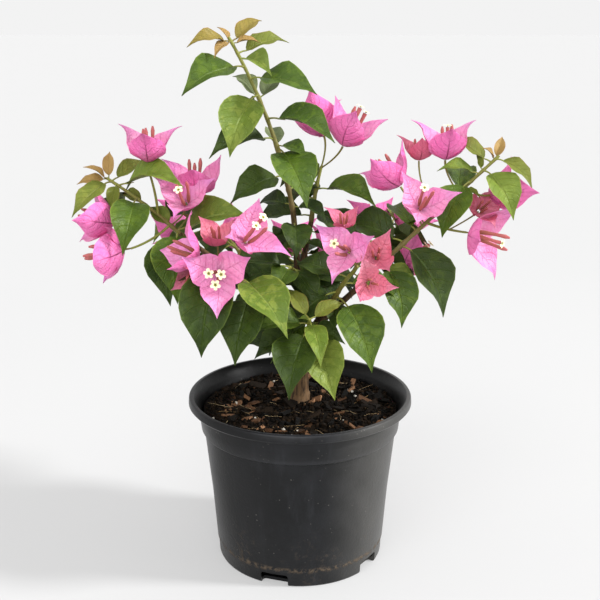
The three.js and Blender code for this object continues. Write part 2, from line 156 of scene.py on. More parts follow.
# A material in the making: nodes are added one by one, settings first and sockets after.
class Finish:
    def __init__(self, name):
        self.material = bpy.data.materials.new(name)
        self.material.use_nodes = True
        self.nodes = self.material.node_tree.nodes
        self.links = self.material.node_tree.links
        self.nodes.clear()

    def node(self, kind, settings=None, sockets=None, output=0):
        made = self.nodes.new(kind)
        for key, value in (settings or {}).items():
            setattr(made, key, value)
        for key, value in (sockets or {}).items():
            if isinstance(value, Wire):
                self.links.new(value.socket, made.inputs[key])
            else:
                made.inputs[key].default_value = value
        return Wire(self, made.outputs[output]) if made.outputs else None

    def place(self):
        return self.node("ShaderNodeTexCoord", output="Object")

    # the parts of a vector: 0 is x, 1 is y and 2 is z
    def split(self, vector, *which):
        return [self.node("ShaderNodeSeparateXYZ", sockets={0: vector}, output=k) for k in which]

    def bladeMap(self):
        return self.split(self.node("ShaderNodeUVMap", {"uv_map": "blade"}), 0, 1)

    def tone(self):
        return self.node("ShaderNodeAttribute", {"attribute_name": "tone"}, output="Fac")

    def stretch(self, vector, scale):
        return self.node("ShaderNodeMapping", sockets={"Vector": vector, "Scale": scale})

    def vector(self, x, y, z=0.0):
        return self.node("ShaderNodeCombineXYZ", sockets={0: x, 1: y, 2: z})

    def noise(self, vector, scale, detail=3.0, roughness=0.55):
        return self.node("ShaderNodeTexNoise", sockets={
            "Vector": vector, "Scale": scale, "Detail": detail, "Roughness": roughness})

    # noise with one scale across and another up and down
    def grain(self, vector, across, along, detail, roughness):
        return self.noise(self.stretch(vector, (across, across, along)), 1.0, detail, roughness)

    def cells(self, vector, scale, feature="F1"):
        return self.node("ShaderNodeTexVoronoi", {"feature": feature}, {"Vector": vector, "Scale": scale})

    # a colour is a wire, everyday red, green and blue values, or four linear ones
    def blend(self, share, first, second):
        first, second = [
            colour(*each) if isinstance(each, tuple) and len(each) == 3 else each
            for each in (first, second)]
        return self.node("ShaderNodeMix", {"data_type": "RGBA"}, {0: share, 6: first, 7: second}, output=2)

    # coats laid over a tint in turn, each with the share that it covers
    def lay(self, tint, *coats):
        for share, coat in coats:
            tint = self.blend(share, tint, coat)
        return tint

    def bump(self, height, distance, strength):
        return self.node("ShaderNodeBump", sockets={
            "Height": height, "Distance": distance, "Strength": strength})

    # relief is what bump takes, and glow is the share of light that passes through a thin piece
    # and its colour
    def close(self, tint, roughness, shine, relief=None, glow=None, more=None):
        sockets = {"Base Color": tint, "Roughness": roughness, "Specular IOR Level": shine, **(more or {})}
        if relief:
            sockets["Normal"] = self.bump(*relief)
        surface = self.node("ShaderNodeBsdfPrincipled", sockets=sockets)
        if glow:
            through = self.node("ShaderNodeBsdfTranslucent", sockets={"Color": colour(*glow[1])})
            surface = self.node("ShaderNodeMixShader", sockets={0: glow[0], 1: surface, 2: through})
        self.node("ShaderNodeOutputMaterial", sockets={"Surface": surface})
        return self.material


# painted light: the floor paper glows, brightest in a pool to the right of the pot and dimmer far away, so
# the shadows on it are lighter
def floorFinish():
    finish = Finish("floorPaper")
    grain = finish.noise(finish.place(), 3.0)
    dark, light = [(shade, shade, shade, 1) for shade in studio["floorShades"]]
    x, y = finish.split(finish.place(), 0, 1)
    away = ((x - studio["poolAt"]) ** 2.0 + y * y) ** 0.5
    glow = finish.blend(away.ramp(*studio["poolFade"]), studio["white"], studio["farGlow"])
    return finish.close(finish.blend(grain, dark, light), 0.9, 0.0, more={
        "Emission Color": glow, "Emission Strength": studio["floorGlow"]})


def makeFloor():
    bpy.ops.mesh.primitive_circle_add(
        vertices=studio["floorSides"], radius=studio["floorRadius"], fill_type="NGON")
    floor = bpy.context.object
    floor.name = "floor"
    floor.data.materials.append(floorFinish())


makeFloor()


def finishPiece(piece, name, slot, *nodes):
    piece.name = name
    piece.data.name = name
    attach(piece, "root")
    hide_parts(*nodes)


# ---- pot ----
print("turning the pot")
pot = {
    "height": 0.130, "rimRadius": 0.085, "lipDepth": 0.007, "wall": 0.0018, "floor": 0.0025,
    "footRadius": 0.064, "footRound": 0.002, "ledgeHeight": 0.013,
    "shoulderHeight": 0.104, "shoulderInner": 0.0734, "shoulderOuter": 0.0757,
    "neckRadius": 0.0777, "sides": 128,
    "notches": 5, "notchHeading": -107.5, "notchWidth": 0.021, "notchHeight": 0.0095,
    # (78, 77, 74) is painted light and sheen for the lit side, (3, 3, 4) painted shade, and (42, 43, 47)
    # wear with a painted highlight on the lip
    "notchDepth": 0.007, "charcoal": (11, 12, 14), "wearAndHighlight": (42, 43, 47), "sheenGrey": (78, 77, 74),
    "notchRound": 0.0022, "shadeBlack": (3, 3, 4), "dust": (98, 84, 68), "speck": (128, 124, 118),
    "innerSlope": 0.115, "innerReach": (0.0622, 0.0632), "innerFrom": (0.112, 0.114),
    "lipSlope": 0.575, "lipReach": (0.0064, 0.0072), "lipFrom": (0.1205, 0.1215),
    "sunnySide": (0.012, 0.060), "shadySide": (-0.060, -0.004), "edgeAngle": 34,
}


# The pot's section from the foot up, over the lip and down its inner side: radius and height.
def potSection():
    foot, neck, top = pot["footRadius"], pot["height"] - pot["lipDepth"], pot["height"]
    rim, wall, shoulder = pot["rimRadius"], pot["wall"], pot["shoulderHeight"]
    return [
        (foot - pot["footRound"], 0), (foot - 0.0006, 0.0006), (foot, pot["footRound"]),
        (foot + 0.0006, pot["ledgeHeight"] - 0.0006), (foot + 0.0010, pot["ledgeHeight"]),
        (foot + 0.0013, pot["ledgeHeight"] + 0.0008), (0.0684, 0.055), (0.0711, 0.080),
        (pot["shoulderInner"], shoulder - 0.0015), (0.0746, shoulder - 0.0006),
        (pot["shoulderOuter"], shoulder + 0.0008), (0.0766, 0.113), (pot["neckRadius"], neck - 0.001),
        (pot["neckRadius"] + 0.0012, neck), (rim - 0.0010, neck + 0.0006), (rim, neck + 0.0018),
        (rim - 0.0003, top - 0.0013), (rim - 0.0008, top - 0.0004), (rim - 0.0018, top),
        (rim - 0.0034, top - 0.0001), (rim - 0.0045, top - 0.0010),
        (pot["neckRadius"] - wall, neck - wall), (pot["shoulderOuter"] - wall, shoulder),
        (pot["shoulderInner"] - wall, shoulder - 0.003),
        (foot - wall, pot["floor"] + 0.002), (foot - wall - 0.002, pot["floor"]),
    ]


def selectTopFace(piece):
    bpy.ops.object.mode_set(mode="OBJECT")
    for part in (*piece.data.polygons, *piece.data.edges, *piece.data.vertices):
        part.select = False
    bpy.ops.object.mode_set(mode="EDIT")
    bpy.ops.mesh.select_mode(type="FACE")
    bpy.ops.object.mode_set(mode="OBJECT")
    top = max(piece.data.polygons, key=lambda polygon: (polygon.normal.z > 0.9, polygon.center.z))
    top.select = True
    bpy.ops.object.mode_set(mode="EDIT")


# A turned piece: a low drum whose top face is extruded and resized from ring to ring.
def turnPiece(section, sides):
    (firstRadius, firstHeight), (radius, height) = section[0], section[1]
    bpy.ops.mesh.primitive_cylinder_add(
        vertices=sides, radius=firstRadius, depth=height - firstHeight,
        location=(0, 0, (firstHeight + height) / 2), end_fill_type="NGON")
    piece = bpy.context.object
    bpy.ops.object.transform_apply(location=True, rotation=True, scale=True)
    selectTopFace(piece)
    bpy.ops.transform.resize(
        value=(radius / firstRadius, radius / firstRadius, 1), center_override=(0, 0, height))
    for nextRadius, nextHeight in section[2:]:
        bpy.ops.mesh.extrude_region_move(
            TRANSFORM_OT_translate={"value": (0, 0, nextHeight - height)})
        share = nextRadius / radius
        bpy.ops.transform.resize(value=(share, share, 1), center_override=(0, 0, nextHeight))
        radius, height = nextRadius, nextHeight
    bpy.ops.object.mode_set(mode="OBJECT")
    return piece


def applyModifier(piece, kind, **settings):
    made = piece.modifiers.new(kind.title(), kind)
    for key, value in settings.items():
        setattr(made, key, value)
    makeActive(piece)
    bpy.ops.object.modifier_apply(modifier=made.name)


def cutNotches(piece):
    for k in range(pot["notches"]):
        heading = math.radians(pot["notchHeading"] + 360 * k / pot["notches"])
        place = Vector((math.cos(heading), math.sin(heading), 0)) * pot["footRadius"]
        deselectAll()
        bpy.ops.mesh.primitive_cube_add(size=1, location=place, rotation=(0, 0, heading))
        cutter = bpy.context.object
        cutter.scale = (2 * pot["notchDepth"], pot["notchWidth"], 2 * pot["notchHeight"])
        bpy.ops.object.transform_apply(location=True, rotation=True, scale=True)
        applyModifier(cutter, "BEVEL", width=pot["notchRound"], segments=3, limit_method="ANGLE")
        applyModifier(piece, "BOOLEAN", operation="DIFFERENCE", object=cutter, solver="EXACT")
        bpy.data.objects.remove(cutter)


def potFinish():
    finish = Finish("blackPlastic")
    place = finish.place()
    across, back, height = finish.split(place, 0, 1, 2)
    cloud = finish.noise(place, 34.0, 6.0, 0.6)
    fine = finish.noise(place, 420.0, 3.0, 0.6)
    scuffs = finish.grain(place, 260.0, 24.0, 4.0, 0.7).ramp(0.62, 0.74)
    rubs = finish.grain(place, 16.0, 260.0, 3.0, 0.6).ramp(0.64, 0.76)
    specks = finish.cells(place, 330.0).ramp(0.10, 0.20, 1.0, 0.0)
    specks = specks * finish.noise(place, 75.0).ramp(0.56, 0.66)
    ledge = 1 - abs(height - (pot["ledgeHeight"] + 0.0010)).ramp(0.0004, 0.0032)
    splash = height.ramp(0.012, 0.055, 1.0, 0.0) * cloud.ramp(0.46, 0.70)
    crumbs = finish.noise(place, 240.0, 5.0, 0.7)
    dust = ledge * crumbs.ramp(0.42, 0.58) + splash * crumbs.ramp(0.50, 0.66) * 0.55
    shoulder = abs(height - (pot["shoulderHeight"] + 0.001)).ramp(0.0, 0.003, 1.0, 0.0)
    # painted highlight: paler in patches along the top of the lip
    rim = height.ramp(pot["height"] - 0.0020, pot["height"] - 0.0004) * cloud.ramp(0.30, 0.60)
    streaks = finish.grain(place, 70.0, 12.0, 4.0, 0.65).ramp(0.50, 0.72)
    # wear, the paler step at the shoulder and the painted highlight on the lip share one colour
    wearAndHighlight = cloud.ramp(0.35, 0.75) * 0.30 + streaks * 0.40 + scuffs * 0.20 + rubs * 0.22
    wearAndHighlight = wearAndHighlight + shoulder * 0.35 + rim * 0.55
    # painted light: the side towards the key light is painted paler, as painted light and a painted
    # reflection of the bright floor, and the other side darker, as painted shade
    paintedSheen = across.ramp(*pot["sunnySide"]) * (0.30 + cloud * 0.6)
    paintedShade = across.ramp(*pot["shadySide"], 0.9, 0.0)
    # the inner side over the soil lies in its own shade
    reach = (across * across + back * back) ** 0.5
    inner = (reach - height * pot["innerSlope"]).ramp(*pot["innerReach"], 1.0, 0.0)
    inner = inner * height.ramp(*pot["innerFrom"])
    innerLip = (reach - height * pot["lipSlope"]).ramp(*pot["lipReach"], 1.0, 0.0)
    innerLip = innerLip * height.ramp(*pot["lipFrom"])
    tint = finish.lay(
        pot["charcoal"], (wearAndHighlight, pot["wearAndHighlight"]), (paintedSheen, pot["sheenGrey"]), (paintedShade, pot["shadeBlack"]),
        (inner * 0.9, pot["shadeBlack"]), (innerLip * 0.8, pot["shadeBlack"]), (specks * 0.32, pot["speck"]),
        (dust * 0.65, pot["dust"]))
    roughness = 0.31 + cloud * 0.12 + dust * 0.35 + scuffs * 0.06
    relief = fine * 0.5 + cloud * 0.8 + crumbs * dust * 1.6 - rubs * 0.25
    return finish.close(tint, roughness, 0.25, (relief, 0.0005, 0.55))


def makePot():
    piece = turnPiece(potSection(), pot["sides"])
    cutNotches(piece)
    makeActive(piece)
    bpy.ops.object.shade_smooth_by_angle(angle=math.radians(pot["edgeAngle"]))
    piece.data.materials.append(potFinish())
    finishPiece(piece, "potShell", "pot", "pot")


makePot()


# ---- many small shapes gathered into one mesh ----
smoothAngle = 72


# Each face keeps a map point per corner, and each shape a tone from 0 to 1.
class Heap:
    def __init__(self):
        self.points = []
        self.faces = []
        self.maps = []
        self.tones = []

    def add(self, points, faces, maps=None, tone=0.5):
        start = len(self.points)
        self.points.extend(points)
        for k, face in enumerate(faces):
            self.faces.append([start + corner for corner in face])
            self.maps.append(maps[k] if maps else [(0.5, 0.5)] * len(face))
            self.tones.append(tone)

    def makePiece(self, name, finish, slot, nodes, smooth=True):
        mesh = bpy.data.meshes.new(name)
        mesh.from_pydata([tuple(point) for point in self.points], [], self.faces)
        layer = mesh.uv_layers.new(name="blade")
        flat = [value for corners in self.maps for corner in corners for value in corner]
        layer.data.foreach_set("uv", flat)
        tones = mesh.attributes.new("tone", "FLOAT", "FACE")
        tones.data.foreach_set("value", self.tones)
        mesh.polygons.foreach_set("use_smooth", [smooth] * len(self.faces))
        mesh.materials.append(finish)
        mesh.update()
        piece = bpy.data.objects.new(name, mesh)
        bpy.context.scene.collection.objects.link(piece)
        if smooth:
            makeActive(piece)
            bpy.ops.object.shade_smooth_by_angle(angle=math.radians(smoothAngle))
        finishPiece(piece, name, slot, *nodes)


def direction(heading, tilt):
    turn, rise = math.radians(heading), math.radians(tilt)
    return Vector((math.cos(rise) * math.cos(turn), math.cos(rise) * math.sin(turn), math.sin(rise)))


# Two directions square to a line, the first of them level where the line isn't upright.
def acrossLine(line):
    reference = Vector((0, 1, 0)) if abs(line.z) > 0.95 else up
    side = reference.cross(line).normalized()
    return side, line.cross(side)


# A round tube along points, with a radius for each point, closed at both ends.
def addTube(heap, path, radii, sides, tone=0.5, tones=None, rough=None):
    points, faces = [], []
    side = None
    for k, point in enumerate(path):
        ahead = (path[min(k + 1, len(path) - 1)] - path[max(k - 1, 0)]).normalized()
        if side is None:
            side = acrossLine(ahead)[0]
        side = (side - ahead * side.dot(ahead)).normalized()
        over = ahead.cross(side)
        for j in range(sides):
            angle = 2 * math.pi * j / sides
            radius = radii[k] * (rough(k, angle) if rough else 1)
            points.append(point + (side * math.cos(angle) + over * math.sin(angle)) * radius)
    last = len(path) - 1
    for k in range(last):
        for j in range(sides):
            nextSide = (j + 1) % sides
            faces.append([
                k * sides + j, k * sides + nextSide, (k + 1) * sides + nextSide, (k + 1) * sides + j])
    faces.append(list(reversed(range(sides))))
    faces.append([last * sides + j for j in range(sides)])
    heap.add(points, faces, None, tone)
    if tones:
        rings = [tones[min(k // sides, last)] for k in range(len(faces))]
        heap.tones[-len(faces):] = rings


# ---- soil ----
print("filling in the soil")
soil = {
    "top": 0.118, "rimGap": 0.0011, "depth": 0.012, "sides": 96, "insets": 20, "roughness": 0.0017,
    "seed": 5, "crumbs": 3400, "crumbSize": (0.0007, 0.0026), "darkChips": 300, "tanChips": 90,
    "chipLength": (0.0026, 0.0150), "chipWidth": (0.25, 0.55), "chipDepth": (0.10, 0.22), "chipLean": 34,
    "fibres": 46, "fibreLength": (0.008, 0.026), "fibreRadius": (0.00010, 0.00026), "fibreBend": 50,
    "grit": 20, "gritSize": (0.0010, 0.0022), "stemAt": 0.01, "stemGap": 0.0075, "mound": 0.0012,
    "moundSpread": 0.0009, "swells": ((45, 1.1), (130, 0.8), (380, 0.45)), "fibreSteps": 8,
    "fibreTilt": 14, "fibreSides": 4, "neck": 0.0766,
}
soilRadius = soil["neck"] - pot["wall"] - soil["rimGap"]


def soilHeight(x, y):
    spot = Vector((x, y, 0))
    wide = sum(noise.noise(spot * scale) * share for scale, share in soil["swells"])
    mound = soil["mound"] * math.exp(-((x * x + (y - soil["stemAt"]) ** 2) / soil["moundSpread"]))
    return soil["top"] + wide * soil["roughness"] + mound


def soilFinish():
    finish = Finish("pottingMix")
    place = finish.place()
    broad = finish.noise(place, 90.0, 5.0, 0.65)
    grain = finish.noise(place, 520.0, 4.0, 0.7)
    bits = finish.cells(place, 420.0)
    tint = finish.lay(
        (8, 6, 4), (broad.ramp(0.38, 0.66), (28, 20, 13)), (grain.ramp(0.58, 0.72) * 0.6, (92, 62, 38)),
        (bits.ramp(0.05, 0.12, 1.0, 0.0) * 0.5, (134, 102, 70)))
    relief = grain * 0.8 + bits * 0.7 + broad
    return finish.close(tint, 0.72 + grain * 0.2, 0.10, (relief, 0.0012, 0.9))


# A small hard finish with two colours, which each shape's tone chooses between.
def chipFinish(name, dark, light, roughness):
    finish = Finish(name)
    grain = finish.noise(finish.stretch(finish.place(), (1.0, 1.0, 2.4)), 900.0, 4.0, 0.65)
    darkest = tuple(value * 0.45 for value in dark)
    tint = finish.lay(dark, (finish.tone(), light), (grain.ramp(0.30, 0.72) * 0.55, darkest))
    return finish.close(tint, roughness + grain * 0.15, 0.10, (grain, 0.0004, 0.8))


chipFaces = [[0, 3, 2, 1], [4, 5, 6, 7], [0, 1, 5, 4], [1, 2, 6, 5], [2, 3, 7, 6], [3, 0, 4, 7]]
crumbFaces = [[0, 2, 4], [2, 1, 4], [1, 3, 4], [3, 0, 4], [2, 0, 5], [1, 2, 5], [3, 1, 5], [0, 3, 5]]


def randomTurn(pick, most):
    spin = Matrix.Rotation(pick.uniform(0, 2 * math.pi), 3, "Z")
    lean = Matrix.Rotation(math.radians(pick.uniform(-most, most)), 3, "X")
    roll = Matrix.Rotation(math.radians(pick.uniform(-most, most)), 3, "Y")
    return spin @ lean @ roll


# A place on the soil, even over its disc, and clear of the trunk.
def soilSpot(pick, margin):
    while True:
        radius = (soilRadius - margin) * math.sqrt(pick.random())
        angle = pick.uniform(0, 2 * math.pi)
        x, y = radius * math.cos(angle), radius * math.sin(angle)
        if math.hypot(x, y - soil["stemAt"]) > soil["stemGap"]:
            return Vector((x, y, soilHeight(x, y)))


# A splinter of bark: a flat box with its corners pulled about.
def addChip(heap, pick, length):
    width, depth = length * pick.uniform(*soil["chipWidth"]), length * pick.uniform(*soil["chipDepth"])
    turn = randomTurn(pick, soil["chipLean"])
    middle = soilSpot(pick, length * 0.5) + up * depth * pick.uniform(0.1, 1.1)
    corners = []
    for z in (-0.5, 0.5):
        for x, y in ((-0.5, -0.5), (0.5, -0.5), (0.5, 0.5), (-0.5, 0.5)):
            corner = Vector((
                x * length * pick.uniform(0.62, 1.1), y * width * pick.uniform(0.5, 1.15),
                z * depth * pick.uniform(0.6, 1.2)))
            corners.append(middle + turn @ corner)
    heap.add(corners, chipFaces, None, pick.random() ** 2)


def addCrumb(heap, pick, size, middle):
    turn = randomTurn(pick, 180)
    corners = []
    for axis in ((1, 0, 0), (-1, 0, 0), (0, 1, 0), (0, -1, 0), (0, 0, 1), (0, 0, -1)):
        corners.append(middle + turn @ (Vector(axis) * size * pick.uniform(0.45, 1.0)))
    heap.add(corners, crumbFaces, None, pick.random() ** 2)


def addFibre(heap, pick):
    length = pick.uniform(*soil["fibreLength"])
    start = soilSpot(pick, 0.006)
    heading, bend = pick.uniform(0, 360), pick.uniform(-soil["fibreBend"], soil["fibreBend"])
    path, point = [], start + up * 0.0012
    steps, tilt = soil["fibreSteps"], soil["fibreTilt"]
    for k in range(steps + 1):
        path.append(point)
        point = point + direction(heading + bend * k / steps, pick.uniform(-tilt, tilt)) * (length / steps)
        if math.hypot(point.x, point.y) > soilRadius - 0.002:
            break
        low = soilHeight(point.x, point.y) + 0.0006
        point.z = max(low, min(point.z, low + 0.0028))
    if len(path) > 2:
        radius = pick.uniform(*soil["fibreRadius"])
        radii = [radius * (1 - 0.5 * k / len(path)) for k in range(len(path))]
        addTube(heap, path, radii, soil["fibreSides"], pick.random())


def makeSoil():
    bpy.ops.mesh.primitive_cylinder_add(
        vertices=soil["sides"], radius=soilRadius, depth=soil["depth"],
        location=(0, 0, soil["top"] - soil["depth"] / 2), end_fill_type="NGON")
    bed = bpy.context.object
    bpy.ops.object.transform_apply(location=True, rotation=True, scale=True)
    selectTopFace(bed)
    for k in range(soil["insets"]):
        bpy.ops.mesh.inset(thickness=soilRadius / (soil["insets"] + 1.5), depth=0)
    bpy.ops.object.mode_set(mode="OBJECT")
    for vertex in bed.data.vertices:
        if vertex.co.z > soil["top"] - soil["depth"] / 2:
            vertex.co.z = soilHeight(vertex.co.x, vertex.co.y)
    bpy.ops.object.shade_smooth()
    bed.data.materials.append(soilFinish())
    finishPiece(bed, "soilBed", "soil", "soil")

    pick = random.Random(soil["seed"])
    crumbs, grit, dark, tan, fibres = Heap(), Heap(), Heap(), Heap(), Heap()
    for k in range(soil["crumbs"]):
        size = pick.uniform(*soil["crumbSize"])
        addCrumb(crumbs, pick, size, soilSpot(pick, 0.0015) + up * size * 0.3)
    shortest, longest = soil["chipLength"]
    for heap, count in ((dark, soil["darkChips"]), (tan, soil["tanChips"])):
        for k in range(count):
            addChip(heap, pick, shortest + (longest - shortest) * pick.random() ** 2)
    for k in range(soil["fibres"]):
        addFibre(fibres, pick)
    for k in range(soil["grit"]):
        size = pick.uniform(*soil["gritSize"])
        addCrumb(grit, pick, size, soilSpot(pick, 0.003) + up * size * 0.8)
    for name, heap, finish in (
            ("soilCrumbs", crumbs, chipFinish("peatCrumbs", (6, 5, 3), (46, 33, 19), 0.75)),
            ("darkBarkChips", dark, chipFinish("darkBark", (7, 6, 4), (42, 30, 18), 0.6)),
            ("tanBarkChips", tan, chipFinish("tanBark", (74, 50, 32), (172, 128, 94), 0.6)),
            ("rootFibres", fibres, chipFinish("paleFibre", (150, 120, 82), (214, 190, 148), 0.7)),
            ("perlite", grit, chipFinish("perliteGrit", (196, 190, 178), (238, 235, 226), 0.7))):
        heap.makePiece(name, finish, "soil", ["soil"], smooth=False)


makeSoil()


# ---- the plant's plan ----
# heading is 0 to the right and 90 to the back, tilt is above the level, in degrees.
trunk = {
    "foot": (0.0, 0.010, 0.1183), "heading": 205, "tilt": 88, "length": 0.062, "bow": 0.0015,
    "radii": (0.0062, 0.0050), "flare": 0.0024, "flareFade": 9,
}


# at is how far up its carrier a limb leaves from, as a share of the carrier's length. The first limb
# of a spray is its stem, which goes on from its bough.
def limb(at, heading, tilt, length, bow, radii, leaves=(), blooms=()):
    return {
        "at": at, "heading": heading, "tilt": tilt, "length": length, "bow": bow, "radii": radii,
        "leaves": leaves, "blooms": blooms}


boughs = {
    "leader": limb(1, -121, 86, 0.089, 0.003, (0.0031, 0.0020)),
    "left": limb(0.9, -165, 43, 0.121, 0.002, (0.0029, 0.0016)),
    "right": limb(0.85, -11, 44, 0.079, -0.002, (0.0030, 0.0019)),
    "front_left": limb(0.75, -121, 43, 0.083, 0.003, (0.0029, 0.0019)),
    "front_right": limb(0.7, -55, 49, 0.067, -0.003, (0.0028, 0.0018)),
    "upper": limb(0.95, 54, 78, 0.082, 0.004, (0.0029, 0.0019)),
    "low_front": limb(0.55, -84, 36, 0.047, -0.002, (0.0023, 0.0015)),
    "back_left": limb(0.8, 137, 42, 0.072, 0.003, (0.0028, 0.0018)),
    "back_right": limb(0.65, 41, 44, 0.078, 0.003, (0.0028, 0.0018)),
    "back_low": limb(0.5, 88, 47, 0.064, -0.003, (0.0026, 0.0017)),
}
